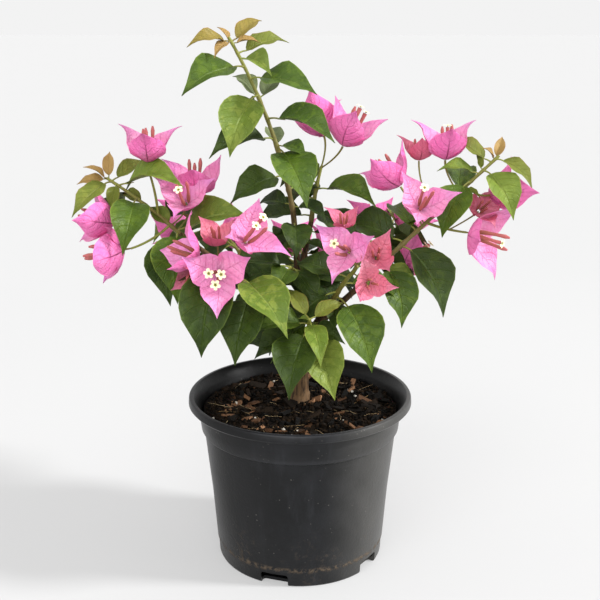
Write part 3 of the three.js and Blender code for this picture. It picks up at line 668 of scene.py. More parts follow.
# A leaf row is: its colour, place on its shoot, heading, tilt, length, and stalk where it is a long one.
# Colours: d dark, m middle, l light, g grey, y yellow green, o olive, b bronze, p peach.
# A bloom row is: how many of its three flowers are open, its place on its shoot, the heading, tilt and
# length of its stalk, the heading and tilt that it faces, its turn about that axis, its bracts' length,
# and how much wider than usual they stand open, in degrees.
sprays = {
    "leader": {"faces": -75, "shoots": [
        limb(0, 183, 70, 0.130, 0.0055, (0.0018, 0.001), [
            ("b", 1, -150, -4, 0.028), ("p", 1, -125, -30, 0.018), ("p", 1, 170, 50, 0.012),
            ("b", 1, 42, 32, 0.027), ("p", 0.99, 5, 5, 0.016), ("o", 0.93, 28, 12, 0.035),
            ("l", 0.9, -45, -17, 0.027), ("m", 0.85, -143, -18, 0.045), ("m", 0.78, -23, -10, 0.043),
            ("g", 0.67, 150, 38, 0.022), ("g", 0.66, 40, 42, 0.022), ("l", 0.68, -117, -49, 0.047),
            ("m", 0.64, 125, -40, 0.038), ("m", 0.54, -26, -15, 0.046), ("d", 0.42, -151, -9, 0.043),
            ("g", 0.37, 104, 32, 0.022), ("m", 0.38, -38, -14, 0.024), ("m", 0.36, -64, -37, 0.05),
            ("d", 0.34, 85, -40, 0.042), ("d", 0.2, -148, -20, 0.040), ("d", 0.12, 70, -20, 0.038),
            ("d", 0.03, 150, -5, 0.026), ("d", 0.02, -20, -20, 0.024),
        ]),
    ]},
    "left": {"faces": -85, "shoots": [
        limb(0, 174, 37, 0.064, 0.0015, (0.0015, 0.0009), [
            ("p", 1, 95, 62, 0.019), ("p", 1, -150, 35, 0.017), ("p", 1, -165, -6, 0.019),
            ("o", 0.96, 46, 23, 0.029), ("o", 0.95, -132, -31, 0.035), ("o", 0.9, -88, -51, 0.021),
            ("m", 0.61, -98, -42, 0.042), ("y", 0.87, -22, 6, 0.043), ("o", 0.5, 143, 14, 0.022),
            ("l", 0.1, 152, 35, 0.02), ("m", 0.02, -86, -49, 0.05), ("d", 0, -97, -60, 0.048, 0.010),
            ("l", 0.03, -11, 15, 0.046), ("d", 0.75, 110, -42, 0.038), ("d", 0.2, 70, 5, 0.038),
        ], [
            (0, 0.5, -150, -25, 0.026, 180, 15, 0, 0.034, 6),
            (0, 0.03, 51, 50, 0.03, -60, 85, -90, 0.035, 4),
            (1, 0.12, -25, 51, 0.021, -100, 50, -90, 0.027, 14),
        ]),
        limb(0.13, -150, -25, 0.033, -0.002, (0.001, 0.0008), [], [
            (0, 1, 178, -10, 0.006, 185, -6, 0, 0.036, 20),
        ]),
        limb(0.3, 168, 80, 0.031, 0.001, (0.001, 0.0008), [], [
            (0, 1, 120, 80, 0.008, -90, 87, -90, 0.032),
        ]),
    ]},
    "right": {"faces": -85, "shoots": [
        limb(0, 5, 43, 0.122, 0, (0.0018, 0.001), [
            ("y", 0.87, -167, 8, 0.027), ("o", 0.97, 160, 27, 0.031), ("p", 1, 60, 53, 0.017),
            ("p", 1, -153, 42, 0.012), ("o", 1, -34, -33, 0.03), ("y", 0.9, -53, -48, 0.038),
            ("o", 0.9, 150, 70, 0.012), ("m", 0.8, -137, -55, 0.041),
            ("d", 0.22, -20, -58, 0.056, 0.008), ("l", 0.06, -24, -47, 0.027),
            ("m", 0.06, -68, -54, 0.043, 0.012), ("o", 0.72, -40, -11, 0.014),
            ("d", 0.25, 151, 7, 0.045), ("m", 0.35, 110, 15, 0.04), ("m", 0.7, 80, 20, 0.036),
            ("d", 0.5, 115, -35, 0.038),
        ], [
            (0, 0.4, 180, 60, 0.034, 160, 52, 0, 0.034), (0, 0.5, 130, 66, 0.042, -90, 86, -90, 0.022),
            (1, 0.7, 150, 64, 0.026, -90, 87, -90, 0.034),
            (1, 0.42, -112, 44, 0.02, -80, 40, 125, 0.028, 12),
            (0, 0.75, 2, -17, 0.020, 15, 12, 180, 0.033, 6),
        ]),
        limb(0.42, -10, -12, 0.030, -0.001, (0.0011, 0.0008), [], [
            (1, 1, -8, -10, 0.005, -38, -8, 170, 0.035, 14),
            (0, 0.6, 17, 28, 0.026, -70, 35, -90, 0.022, 6),
        ]),
    ]},
    "front_left": {"faces": -85, "shoots": [
        limb(0, -149, 37, 0.039, 0.001, (0.0018, 0.0011), [
            ("d", 0.9, -108, -62, 0.056, 0.01), ("l", 0.4, -52, -28, 0.052),
            ("d", 0, -105, -50, 0.046, 0.016), ("d", 0.5, 120, -10, 0.036), ("d", 0.95, 160, -30, 0.034),
        ], [
            (3, 0.8, -92, 5, 0.021, -92, 8, -90, 0.030, 16),
            (0, 1, 180, 25, 0.012, -160, 25, 80, 0.029, 8),
            (2, 0.55, -10, 70, 0.025, -50, 40, 65, 0.030, 12),
            (0, 0.9, 100, 52, 0.017, -100, 65, -90, 0.021, 4),
            (0, 1, 180, -15, 0.014, -110, -30, 90, 0.02, 8),
        ]),
    ]},
    "front_right": {"faces": -85, "shoots": [
        limb(0, -55, 47, 0.038, 0.001, (0.0018, 0.0011), [
            ("d", 0.15, -165, -43, 0.042), ("m", 0.02, -58, -50, 0.05, 0.016),
            ("d", 0.6, 150, 10, 0.036), ("m", 0.4, 5, -15, 0.034),
        ], [
            (1, 0.95, -125, 52, 0.017, -115, 22, 145, 0.026, 14),
            (0, 1, 128, 60, 0.030, -90, 65, -90, 0.017, 6),
            (0, 1, 37, 12, 0.018, -95, 35, -60, 0.022, 8),
            (0, 0.8, -60, -8, 0.020, -80, 10, 110, 0.020, 12),
        ]),
    ]},
    "upper": {"faces": -70, "shoots": [
        limb(0, 30, 78, 0.042, 0.001, (0.0018, 0.0011), [
            ("m", 0.6, -29, -9, 0.041, 0.01), ("d", 0.2, -43, -33, 0.041), ("d", 0.4, 110, -12, 0.042),
            ("m", 0.7, 120, 5, 0.034), ("d", 0.1, 165, -15, 0.04),
        ], [
            (2, 1, -20, 45, 0.024, -10, 66, 180, 0.037, 2), (1, 1, 70, 75, 0.024, 120, 55, 60, 0.036),
        ]),
    ]},
    "centre": {"faces": -80, "on": "leader", "at": 0.45, "shoots": [
        limb(0, -100, 22, 0.031, 0, (0.0015, 0.001), [
            ("d", 1, -158, 4, 0.042), ("d", 0.8, -50, -45, 0.030), ("d", 0.3, -15, -8, 0.042),
            ("d", 0.45, 190, -15, 0.042), ("d", 0.6, -30, -38, 0.04), ("m", 0.95, -110, -20, 0.03),
        ]),
    ]},
    "low_front": {"faces": -90, "shoots": [
        limb(0, -85, 42, 0.036, 0, (0.0015, 0.0009), [
            ("o", 1, 126, 36, 0.026), ("o", 1, 30, 17, 0.025), ("y", 1, -130, 20, 0.01),
            ("y", 0.95, -77, -36, 0.034), ("m", 0.8, -160, 0, 0.033), ("d", 0.5, -105, -35, 0.051),
            ("l", 0.3, -63, -45, 0.046, 0.01), ("d", 0.4, -30, -6, 0.025), ("d", 0.35, -40, -40, 0.02),
            ("d", 0.2, 175, -10, 0.037), ("d", 0.3, -165, -22, 0.035),
        ]),
    ]},
    "back_left": {"faces": 120, "wild": {"seed": 11, "heading": 137, "tilt": 40, "length": 0.032}},
    "back_right": {"faces": 60, "wild": {"seed": 23, "heading": 41, "tilt": 42, "length": 0.034}},
    "back_low": {"faces": 90, "wild": {"seed": 37, "heading": 88, "tilt": 30, "length": 0.036}},
}
# What a shoot that no row sets out grows by: its twigs, and the leaves and bloom on each.
wildRule = {
    "twigs": 3, "firstTwig": 0.3, "twigStep": 0.32, "spread": 42, "twigTilt": 22, "twigLength": 0.030,
    "leavesPerTwig": 3, "leafTilt": -28, "leafLength": 0.041, "leafSpread": 75, "leafTurns": 40,
    "stemLeaf": 80, "bloomAt": 0.9, "bloomStalk": 0.016, "bloomTilt": -28, "bloomFaceTilt": 30,
    "bloomTurn": 60, "bract": 0.034, "jitter": 14, "leafJitter": 0.005, "bractJitter": 0.003,
    "twigJitter": 0.004, "bow": 0.001, "stemRadii": (0.0017, 0.0010), "twigRadii": (0.0011, 0.0008),
}
clearGap = 0.0003
goldenAngle = 137.5
tipReach = 0.97


# A seeded source of numbers from 0 to 1, in whole numbers of 32 bits.
def seededNumbers(seed):
    most = 0xFFFFFFFF
    state = seed

    def nextNumber():
        nonlocal state
        state = (state + 0x6D2B79F5) & most
        mixed = ((state ^ (state >> 15)) * (state | 1)) & most
        mixed ^= (mixed + (((mixed ^ (mixed >> 7)) * (mixed | 61)) & most)) & most
        return ((mixed ^ (mixed >> 14)) & most) / 4294967296
    return nextNumber


# A limb's axis: an arc from its foot, bowed up across its own direction.
class LimbAxis:
    def __init__(self, foot, plan):
        self.foot = foot
        self.tip = foot + direction(plan["heading"], plan["tilt"]) * plan["length"]
        bow = direction(plan["heading"], plan["tilt"] + 90) * (2 * plan["bow"])
        self.middle = foot.lerp(self.tip, 0.5) + bow

    def point(self, share):
        return self.foot.lerp(self.middle, share).lerp(self.middle.lerp(self.tip, share), share)

    def ahead(self, share):
        return (self.middle.lerp(self.tip, share) - self.foot.lerp(self.middle, share)).normalized()


# The shoots of a spray that only a seed sets out: a stem, and twigs turned to either side.
def wildShoots(wild):
    nextNumber = seededNumbers(wild["seed"])
    rule = wildRule

    def about(value, spread=rule["jitter"]):
        return value + (2 * nextNumber() - 1) * spread

    stem = limb(0, wild["heading"], wild["tilt"], wild["length"], rule["bow"], rule["stemRadii"], [])
    shoots = [stem]
    for twig in range(rule["twigs"]):
        side = 1 if twig % 2 else -1
        spread = side * rule["spread"] * (1 if twig < 2 else 0)
        heading = about(wild["heading"] + spread)
        tilt = about(rule["twigTilt"])
        leaves = []
        for k in range(rule["leavesPerTwig"]):
            at = (k + 1) / rule["leavesPerTwig"]
            turn = (1 if k % 2 else -1) * rule["leafSpread"] * (1.15 - at)
            turn += (k * goldenAngle) % rule["leafTurns"]
            leaves.append((
                "dml"[k], at, about(heading + turn), about(rule["leafTilt"]),
                about(rule["leafLength"], rule["leafJitter"])))
        bloom = (
            (twig + wild["seed"]) % 3, rule["bloomAt"], about(heading), about(rule["bloomTilt"]),
            rule["bloomStalk"], about(heading, 2 * rule["jitter"]), about(rule["bloomFaceTilt"]),
            about(0, rule["bloomTurn"]), about(rule["bract"], rule["bractJitter"]))
        shoots.append(limb(
            rule["firstTwig"] + twig * rule["twigStep"], heading, tilt,
            about(rule["twigLength"], rule["twigJitter"]), rule["bow"], rule["twigRadii"], leaves,
            [bloom]))
        stem["leaves"].append((
            "d", rule["firstTwig"] * (twig + 0.5), about(wild["heading"] - side * rule["stemLeaf"]),
            about(rule["leafTilt"]), about(rule["leafLength"], rule["leafJitter"])))
    return shoots


# ---- bark, shoots and stalks ----
print("growing the trunk and boughs")
bark = {
    "sides": 18, "ringStep": 0.0016, "ridge": 0.075, "knot": 0.16, "knotEvery": 0.017, "knotAt": 0.006,
    "knotReach": 0.0013, "knotTurn": 2.4, "greenFrom": (0.255, 0.300),
}


def barkFinish():
    finish = Finish("bark")
    place = finish.place()
    height = finish.split(place, 2)[0]
    broad = finish.noise(place, 70.0, 5.0, 0.6)
    furrow = finish.grain(place, 620.0, 90.0, 5.0, 0.65)
    green = (height + broad * 0.03).ramp(*bark["greenFrom"])
    fresh = finish.blend(furrow.ramp(0.40, 0.66), (72, 62, 28), (104, 98, 44))
    tint = finish.lay(
        (44, 32, 20), (furrow.ramp(0.34, 0.64), (106, 80, 52)),
        (broad.ramp(0.52, 0.70) * 0.5, (128, 100, 70)), (green, fresh))
    relief = furrow * (1.0 - green * 0.6) + broad * 0.3
    return finish.close(tint, 0.66 + furrow * 0.2, 0.3, (relief, 0.0006, 0.8))


# Green shoots and stalks: the tone goes from woody brown at 0 to fresh green at 1.
def shootFinish(name, woody, fresh):
    finish = Finish(name)
    place = finish.place()
    streak = finish.grain(place, 500.0, 120.0, 4.0, 0.6)
    patch = finish.noise(place, 160.0)
    pale = tuple(value * 0.6 + 60 for value in fresh)
    tint = finish.lay(
        woody, (finish.tone(), fresh), (streak.ramp(0.52, 0.72) * 0.45, woody),
        (patch.ramp(0.58, 0.72) * 0.35, pale))
    return finish.close(tint, 0.5 + patch * 0.1, 0.4, (streak, 0.0003, 0.6))


# A limb with ridged bark, and a low knot where a leaf or twig has stood.
def addBark(heap, axis, radiusAt, length, seed):
    count = max(6, round(length / bark["ringStep"]))
    shares = [k / count for k in range(count + 1)]

    def rough(k, angle):
        far = shares[k] * length
        around = Vector((math.cos(angle) * 1.9, math.sin(angle) * 1.9, far * 55 + seed * 7))
        ridge = noise.noise(around) + 0.5 * noise.noise(around * 2.3)
        knot = math.exp(-(((far % bark["knotEvery"]) - bark["knotAt"]) / bark["knotReach"]) ** 2)
        lopsided = 0.5 + 0.5 * math.cos(angle - (far // bark["knotEvery"]) * bark["knotTurn"] - seed)
        return 1 + bark["ridge"] * ridge + bark["knot"] * knot * lopsided

    addTube(heap, [axis.point(share) for share in shares], [radiusAt(share) for share in shares],
            bark["sides"], 0.5, None, rough)


def taper(radii):
    return lambda share: radii[0] + (radii[1] - radii[0]) * share


def trunkRadius(share):
    return taper(trunk["radii"])(share) + trunk["flare"] * math.exp(-trunk["flareFade"] * share)


boughAxes = {}


def makeLimbs():
    heap = Heap()
    trunkAxis = LimbAxis(Vector(trunk["foot"]), trunk)
    addBark(heap, trunkAxis, trunkRadius, trunk["length"], 1)
    for k, (name, bough) in enumerate(boughs.items()):
        lift = 2 * clearGap if bough["at"] == 1 else 0
        foot = trunkAxis.point(bough["at"]) + direction(bough["heading"], bough["tilt"]) * lift
        boughAxes[name] = LimbAxis(foot, bough)
        addBark(heap, boughAxes[name], taper(bough["radii"]), bough["length"], k + 2)
    nodes = ["trunk"] + ["bough_" + name for name in boughs]
    heap.makePiece("trunkAndBoughs", barkFinish(), "bark", nodes)


makeLimbs()

# ---- leaves and blossom ----
leaf = {
    "width": 0.65, "thickness": 0.0004, "fold": 0.60, "foldJitter": 0.12, "arch": 0.08, "wave": 0.034,
    "tipDroop": 0.11, "droopFrom": 0.5, "curl": 2, "cup": -0.09, "rows": 12, "pinch": 0.58,
    "pinchFrom": 0.60, "stalk": 0.2, "stalkLift": 12, "stalkRadius": 0.00075, "stalkBend": (0.55, 0.12),
    "stalkTaper": (1.5, 1, 0.85, 0.8, 0.8, 0.75, 0.3), "ribReach": 0.12, "ribRise": 0.35,
    "ribSink": 0.6, "stalkSink": 0.3, "girth": (0.55, 12), "stalkSides": 6, "stalkTones": (0.5, 0.4),
    "youngTone": 0.3, "tipWidth": 0.46, "youngLength": 0.0355, "roll": 11,
}
leafLight = {"tilt": 38, "skyShare": 0.55}
bract = {
    "width": 0.80, "thickness": 0.0003, "fold": 0.05, "foldJitter": 0.05, "arch": -0.20, "wave": 0.030,
    "tipDroop": 0.34, "droopFrom": 0.40, "curl": 3, "cup": 0.36, "rows": 12, "pinch": 0.60,
    "pinchFrom": 0.52, "splay": 22, "splayJitter": 4, "openLength": 0.0245,
}
blade = {
    "widest": 0.68, "fullness": 0.84, "archSpread": (0.8, 1.25), "waves": (1.4, 2.3), "sway": 0.045,
    "droopSpread": (0.5, 1.5),
}
heart = {
    "stalk": 0.0008, "stalkBend": 0.4, "back": 0.0015, "rootOut": 0.0012, "tubeUp": 0.0015,
    "thickFrom": 0.026, "thin": 0.65, "thick": 0.8, "stalkTones": (0.25, 0.3), "bractSpread": (0.97, 1.03),
    "leanJitter": 4, "tubeSpread": (0.88, 1.08), "youngTube": 0.8,
    "stalkTaper": (1.25, 0.95, 1.0, 1.05, 1.1, 1.15, 1.2, 1.25, 1.3),
}
flower = {
    "length": 0.75, "radius": 0.00098, "lean": 10, "starRadius": 0.0035, "sides": 10,
    "bendAt": 0.55, "turnsOut": (0.6, 0.4), "girth": (0.45, 40), "rootTone": 0.15, "starOut": 0.34,
    "starTurn": 1.2,
    "openProfile": (0.55, 1.0, 1.05, 0.85, 0.74, 0.78, 0.90, 1.0),
    "budProfile": (0.55, 1.0, 1.05, 0.85, 0.76, 0.86, 1.0, 0.45), "ribs": 5, "ribHeight": 0.10,
    "throat": 0.30, "rings": ((0.22, 0.02), (0.55, 0.10), (1.0, 0.12)), "lobe": (1.0, 0.93, 0.60, 0.93),
}
columns = (-1.0, -0.66, -0.33, 0.0, 0.33, 0.66, 1.0)


def smoothShare(value):
    value = max(0.0, min(1.0, value))
    return value * value * (3 - 2 * value)


# How far a share has gone from a start towards 1.
def goneFrom(start, share):
    return (share - start) / (1 - start)


# Half the width of a pointed blade, as a share of its greatest half width.
def bladeOutline(share, shape):
    full = math.sin(math.pi * share ** blade["widest"]) ** blade["fullness"]
    return full * (1 - shape["pinch"] * smoothShare(goneFrom(shape["pinchFrom"], share)))


# A thin closed blade with an upper and a lower side, folded at its midrib and waved at its edge.
# Its map runs across from 0 to 1, or from 2 to 3 on the lower side, and along from 0 to 1.
def addBlade(heap, foot, along, face, shape, length, pick, tone):
    side = face.cross(along).normalized()
    over = along.cross(side)
    fold = shape["fold"] + pick.uniform(-1, 1) * shape["foldJitter"]
    arch = shape["arch"] * pick.uniform(*blade["archSpread"])
    phases = [pick.uniform(0, 2 * math.pi) for k in range(2)]
    waves = pick.uniform(*blade["waves"])
    sway = pick.uniform(-blade["sway"], blade["sway"])
    droop = shape["tipDroop"] * pick.uniform(*blade["droopSpread"])
    rows = shape["rows"]
    points, index = [], {}

    def put(row, column, below):
        share = (1 - math.cos(math.pi * row / rows)) / 2
        x = 0.0 if row in (0, rows) else columns[column]
        half = shape["width"] * length / 2 * bladeOutline(share, shape) if 0 < row < rows else 0.0
        phase = phases[0] if x < 0 else phases[1]
        height = (fold * abs(x) + shape["cup"] * x * x) * half + arch * length * 4 * share * (1 - share)
        ripple = shape["wave"] * length * x * x * min(1, 5 * half / length)
        height += ripple * math.sin(2 * math.pi * waves * share + phase)
        height -= droop * length * max(0.0, goneFrom(shape["droopFrom"], share)) ** shape["curl"]
        across = x * half + sway * length * 4 * share * (1 - share)
        inside = row not in (0, rows) and abs(x) < 1
        drop = shape["thickness"] if below and inside else 0.0
        index[(row, column, below)] = len(points)
        points.append(foot + along * (length * share) + side * across + over * (height - drop))

    last = len(columns) - 1
    put(0, 0, False)
    for row in range(1, rows):
        for column in range(last + 1):
            put(row, column, False)
        for column in range(1, last):
            put(row, column, True)
        index[(row, 0, True)] = index[(row, 0, False)]
        index[(row, last, True)] = index[(row, last, False)]
    put(rows, 0, False)
    base, tip = 0, len(points) - 1
    faces, maps = [], []
    for below in (False, True):
        shift = 2.0 if below else 0.0

        def addFace(corners, spots):
            if not below:
                corners, spots = corners[::-1], spots[::-1]
            faces.append(corners)
            maps.append(spots)

        def spot(row, column):
            return (shift + (columns[column] + 1) / 2, (1 - math.cos(math.pi * row / rows)) / 2)

        for column in range(last):
            middle = shift + (columns[column] + columns[column + 1] + 2) / 4
            addFace([base, index[(1, column + 1, below)], index[(1, column, below)]],
                    [(middle, 0.0), spot(1, column + 1), spot(1, column)])
            addFace([tip, index[(rows - 1, column, below)], index[(rows - 1, column + 1, below)]],
                    [(middle, 1.0), spot(rows - 1, column), spot(rows - 1, column + 1)])
            for row in range(1, rows - 1):
                here = [(row, column), (row, column + 1), (row + 1, column + 1), (row + 1, column)]
                # both sides are split along the same diagonal, so that they never cross
                for corners in ((0, 1, 2), (0, 2, 3)):
                    addFace([index[(*here[k], below)] for k in corners], [spot(*here[k]) for k in corners])
    heap.add(points, faces, maps, tone)


# A leaf's finish: side veins that curve to the tip, a fine net, a paler margin and a paler underside, with
# pale dapples of painted light.
# Each colour is base, second, vein and margin, then the underside.
leafColours = {
    "d": ((36, 56, 6), (64, 84, 16), (76, 98, 30), (102, 122, 42), (84, 104, 48)),
    "m": ((52, 78, 8), (92, 116, 26), (104, 126, 42), (128, 146, 50), (98, 120, 54)),
    "l": ((84, 108, 24), (136, 150, 60), (140, 158, 74), (154, 168, 72), (124, 144, 76)),
    "g": ((112, 126, 82), (140, 152, 108), (150, 160, 118), (140, 150, 92), (128, 140, 96)),
    "y": ((94, 118, 30), (130, 148, 54), (146, 160, 76), (162, 160, 66), (130, 148, 70)),
    "o": ((104, 116, 36), (128, 134, 50), (146, 150, 74), (160, 112, 58), (132, 136, 70)),
    "b": ((132, 120, 48), (154, 134, 60), (166, 142, 76), (172, 96, 60), (150, 126, 70)),
    "p": ((170, 138, 78), (190, 156, 94), (198, 164, 106), (172, 98, 72), (178, 146, 94)),
}
leafNames = {
    "d": "leavesDark", "m": "leavesMiddle", "l": "leavesLight", "g": "leavesGrey", "y": "leavesFresh",
    "o": "leavesOlive", "b": "leavesBronze", "p": "leavesPeach",
}


# Side veins as lines that rise towards the margin: 1 on a vein and 0 between.
def sideVeins(side, half, length, count, curve, width):
    phase = (length - curve * side ** 1.3) * count + (half > 0.5) * 0.4
    away = abs(phase.fraction() - 0.5)
    return away.ramp(0.0, width, 1.0, 0.0) * side.ramp(0.82, 1.0, 1.0, 0.0)


def bladeParts(finish):
    u, length = finish.bladeMap()
    below = u > 1.5
    half = u - below * 2.0
    return below, half, length, abs(half - 0.5) * 2.0


def leafFinish(name, colours):
    finish = Finish(name)
    place = finish.place()
    below, half, length, side = bladeParts(finish)
    veins = sideVeins(side, half, length, 6.5, 0.24, 0.085)
    midrib = side.ramp(0.0, 0.075, 1.0, 0.0)
    net = finish.cells(finish.vector(half * 9.0, length * 14.0), 1.6, "DISTANCE_TO_EDGE")
    net = net.ramp(0.0, 0.09, 1.0, 0.0)
    patches = finish.noise(place, 60.0, 3.0, 0.6)
    # painted light: small pale dapples, as of sun falling through the leaves above
    dappledLight = finish.noise(place, 150.0, 2.0, 0.5).ramp(0.50, 0.60)
    fine = finish.noise(place, 600.0, 3.0, 0.6)
    base, second, vein, margin, under = colours
    tint = finish.lay(
        base, (finish.tone() * 0.4 + patches.ramp(0.46, 0.66) * 0.3, second), (dappledLight * 0.58, second),
        (veins * 0.20 + net * 0.07, vein), (midrib * 0.55, vein), (side.ramp(0.93, 1.0) * 0.6, margin),
        (below * 0.72, under))
    quilt = 1.0 - veins * 0.6 - midrib - net * 0.20 + patches * 1.5 + fine * 0.1
    roughness = 0.40 + patches * 0.20 + below * 0.18
    return finish.close(tint, roughness, 0.34, (quilt, 0.0010, 0.70), (0.12, second))


# A bract's finish: papery, with a raised net of veins and a dark rib on its outer side.
# Each colour is inside, its pale patches, outside, vein, rib and the lilac of its tip.
bractColours = {
    "open": (
        (250, 154, 206), (254, 194, 228), (248, 118, 190), (226, 84, 160), (136, 36, 78), (236, 140, 220)),
    "young": (
        (238, 132, 158), (248, 170, 188), (226, 104, 142), (200, 68, 106), (144, 48, 66), (236, 130, 176)),
}


def bractFinish(name, colours):
    finish = Finish(name)
    place = finish.place()
    below, half, length, side = bladeParts(finish)
    veins = sideVeins(side, half, length, 5.5, 0.34, 0.15)
    midrib = side.ramp(0.0, 0.055, 1.0, 0.0)
    net = finish.cells(finish.vector(half * 7.0, length * 10.0), 1.5, "DISTANCE_TO_EDGE")
    ridges = net.ramp(0.0, 0.22, 1.0, 0.0)
    patches = finish.noise(place, 85.0, 3.0, 0.6)
    blush = finish.noise(place, 42.0, 2.0, 0.5).ramp(0.46, 0.66)
    inside, pale, outside, vein, rib, lilac = colours
    outer = finish.blend(patches.ramp(0.40, 0.72) * 0.5, outside, inside)
    tint = finish.lay(
        inside, (patches.ramp(0.40, 0.66) * 0.6 + finish.tone() * 0.3, pale),
        (blush * 0.35 + length.ramp(0.55, 1.0) * 0.35, lilac), (below * 0.85, outer),
        (veins * 0.12 + ridges * 0.04 + midrib * 0.28, vein),
        (midrib * below * length.ramp(0.25, 0.75, 1.0, 0.0), rib),
        (length.ramp(0.0, 0.10, 0.45, 0.0), rib))
    quilt = 1.0 - veins * 0.9 - midrib * 0.8 - ridges * 0.45 + patches * 0.9
    return finish.close(tint, 0.58 + patches * 0.1, 0.28, (quilt, 0.0009, 0.65), (0.24, pale))


# The star of a flower: cream lobes, yellow green at its throat, by its map's way out from the middle.
def starFinish():
    finish = Finish("starCream")
    out = finish.bladeMap()[1]
    grain = finish.noise(finish.place(), 900.0, 2.0)
    cream = (252, 246, 205)
    tint = finish.lay(
        (150, 150, 60), (out.ramp(0.22, 0.50), cream), (out.ramp(0.10, 0.22, 0.9, 0.0), (74, 76, 30)),
        (grain.ramp(0.60, 0.75) * 0.3, (240, 228, 160)))
    return finish.close(tint, 0.55 + grain * 0.1, 0.3, (grain, 0.0002, 0.5), (0.12, cream))


leafHeaps = {letter: Heap() for letter in leafColours}
bractHeaps = {kind: Heap() for kind in bractColours}
shootHeap, stalkHeap, tubeHeap, starHeap = Heap(), Heap(), Heap(), Heap()
shootRule = {
    "ringStep": 0.003, "swell": 0.30, "swellReach": 0.0016, "sunk": 0.001, "stemSides": 10, "sides": 8,
    "tones": {"leader": (0.15, 0.85), "right": (0.15, 0.75), "left": (0.30, 0.90)}, "tone": (0.35, 0.9),
}


def curveBetween(start, bend, end, count):
    points = []
    for k in range(count + 1):
        share = k / count
        points.append(start.lerp(bend, share).lerp(bend.lerp(end, share), share))
    return points


# A leaf turns its face up, and part way to the light side that its spray faces.
def leafFace(along, faces):
    face = direction(faces, leafLight["tilt"]) + up * leafLight["skyShare"]
    return (face - along * face.dot(along)).normalized()


def addLeaf(axis, row, faces, pick):
    letter, at, heading, tilt, length = row[:5]
    stalk = row[5] if len(row) > 5 else leaf["stalk"] * length
    node = axis.point(at * tipReach)
    along = direction(heading, tilt)
    foot = node + direction(heading, tilt / 2 + leaf["stalkLift"]) * stalk
    face = leafFace(along, faces)
    radius = leaf["stalkRadius"] * (leaf["girth"][0] + length * leaf["girth"][1])
    bend = node.lerp(foot, leaf["stalkBend"][0]) + up * stalk * leaf["stalkBend"][1]
    rise = leaf["arch"] * length * leaf["ribRise"] - radius * leaf["ribSink"]
    rib = foot + along * (leaf["ribReach"] * length) + face * rise
    path = curveBetween(node, bend, foot - face * radius * leaf["stalkSink"], 5) + [rib]
    low, spread = leaf["stalkTones"]
    tone = low + spread * pick.random() - (leaf["youngTone"] if letter in "bp" else 0)
    radii = [radius * share for share in leaf["stalkTaper"]]
    addTube(stalkHeap, path, radii, leaf["stalkSides"], tone)
    isYoung = letter in "bpoy" and length < leaf["youngLength"]
    shape = dict(leaf, width=leaf["tipWidth"]) if isYoung else leaf
    face.rotate(Matrix.Rotation(math.radians(pick.uniform(-1, 1) * leaf["roll"]), 3, along))
    addBlade(leafHeaps[letter], foot, along, face, shape, length, pick, pick.random())


# A star of five notched lobes, a little cupped, with a throat at its middle.
def addStar(heap, middle, facing, turn, size, pick):
    side, over = acrossLine(facing)
    points, faces, maps = [middle - facing * size * flower["throat"]], [], []
    rings = flower["rings"]
    count = 2 * flower["sides"]
    for radius, height in rings:
        for k in range(count):
            angle = turn + 2 * math.pi * k / count
            lobe = flower["lobe"][k % 4]
            reach = radius * (1 + (lobe - 1) * (radius > 0.5))
            lift = height + (0.10 if k % 4 == 2 else -0.02) * radius
            points.append(middle + (side * math.cos(angle) + over * math.sin(angle)) * reach * size
                          + facing * lift * size)
    for k in range(count):
        following = (k + 1) % count
        faces.append([0, 1 + k, 1 + following])
        maps.append([(0.5, 0.0), (0.5, 0.22), (0.5, 0.22)])
        for ring in range(2):
            low, high = 1 + ring * count, 1 + (ring + 1) * count
            faces.append([low + k, high + k, high + following, low + following])
            here, there = rings[ring][0], rings[ring + 1][0]
            maps.append([(0.5, here), (0.5, there), (0.5, there), (0.5, here)])
    heap.add(points, faces, maps, pick.random())


# One flower tube, swollen low down, with five soft ribs; open ones end in a star.
def addFlower(root, way, facing, length, isOpen, pick):
    bend = root + way * length * flower["bendAt"]
    tip = root + (way * flower["turnsOut"][0] + facing * flower["turnsOut"][1]).normalized() * length
    profile = flower["openProfile"] if isOpen else flower["budProfile"]
    path = curveBetween(root, bend, tip, len(profile) - 1)
    radius = flower["radius"] * (flower["girth"][0] + length * flower["girth"][1])
    low, last = flower["rootTone"], len(profile) - 1
    tones = [low + (1 - low) * k / last for k in range(last + 1)]
    addTube(tubeHeap, path, [radius * share for share in profile], flower["sides"], 0.5, tones,
            lambda k, angle: 1 + flower["ribHeight"] * math.cos(flower["ribs"] * angle))
    if isOpen:
        ahead = (path[-1] - path[-2]).normalized()
        middle = path[-1] + ahead * flower["starRadius"] * flower["starOut"]
        turn = pick.uniform(0, flower["starTurn"])
        addStar(starHeap, middle, ahead, turn, flower["starRadius"], pick)


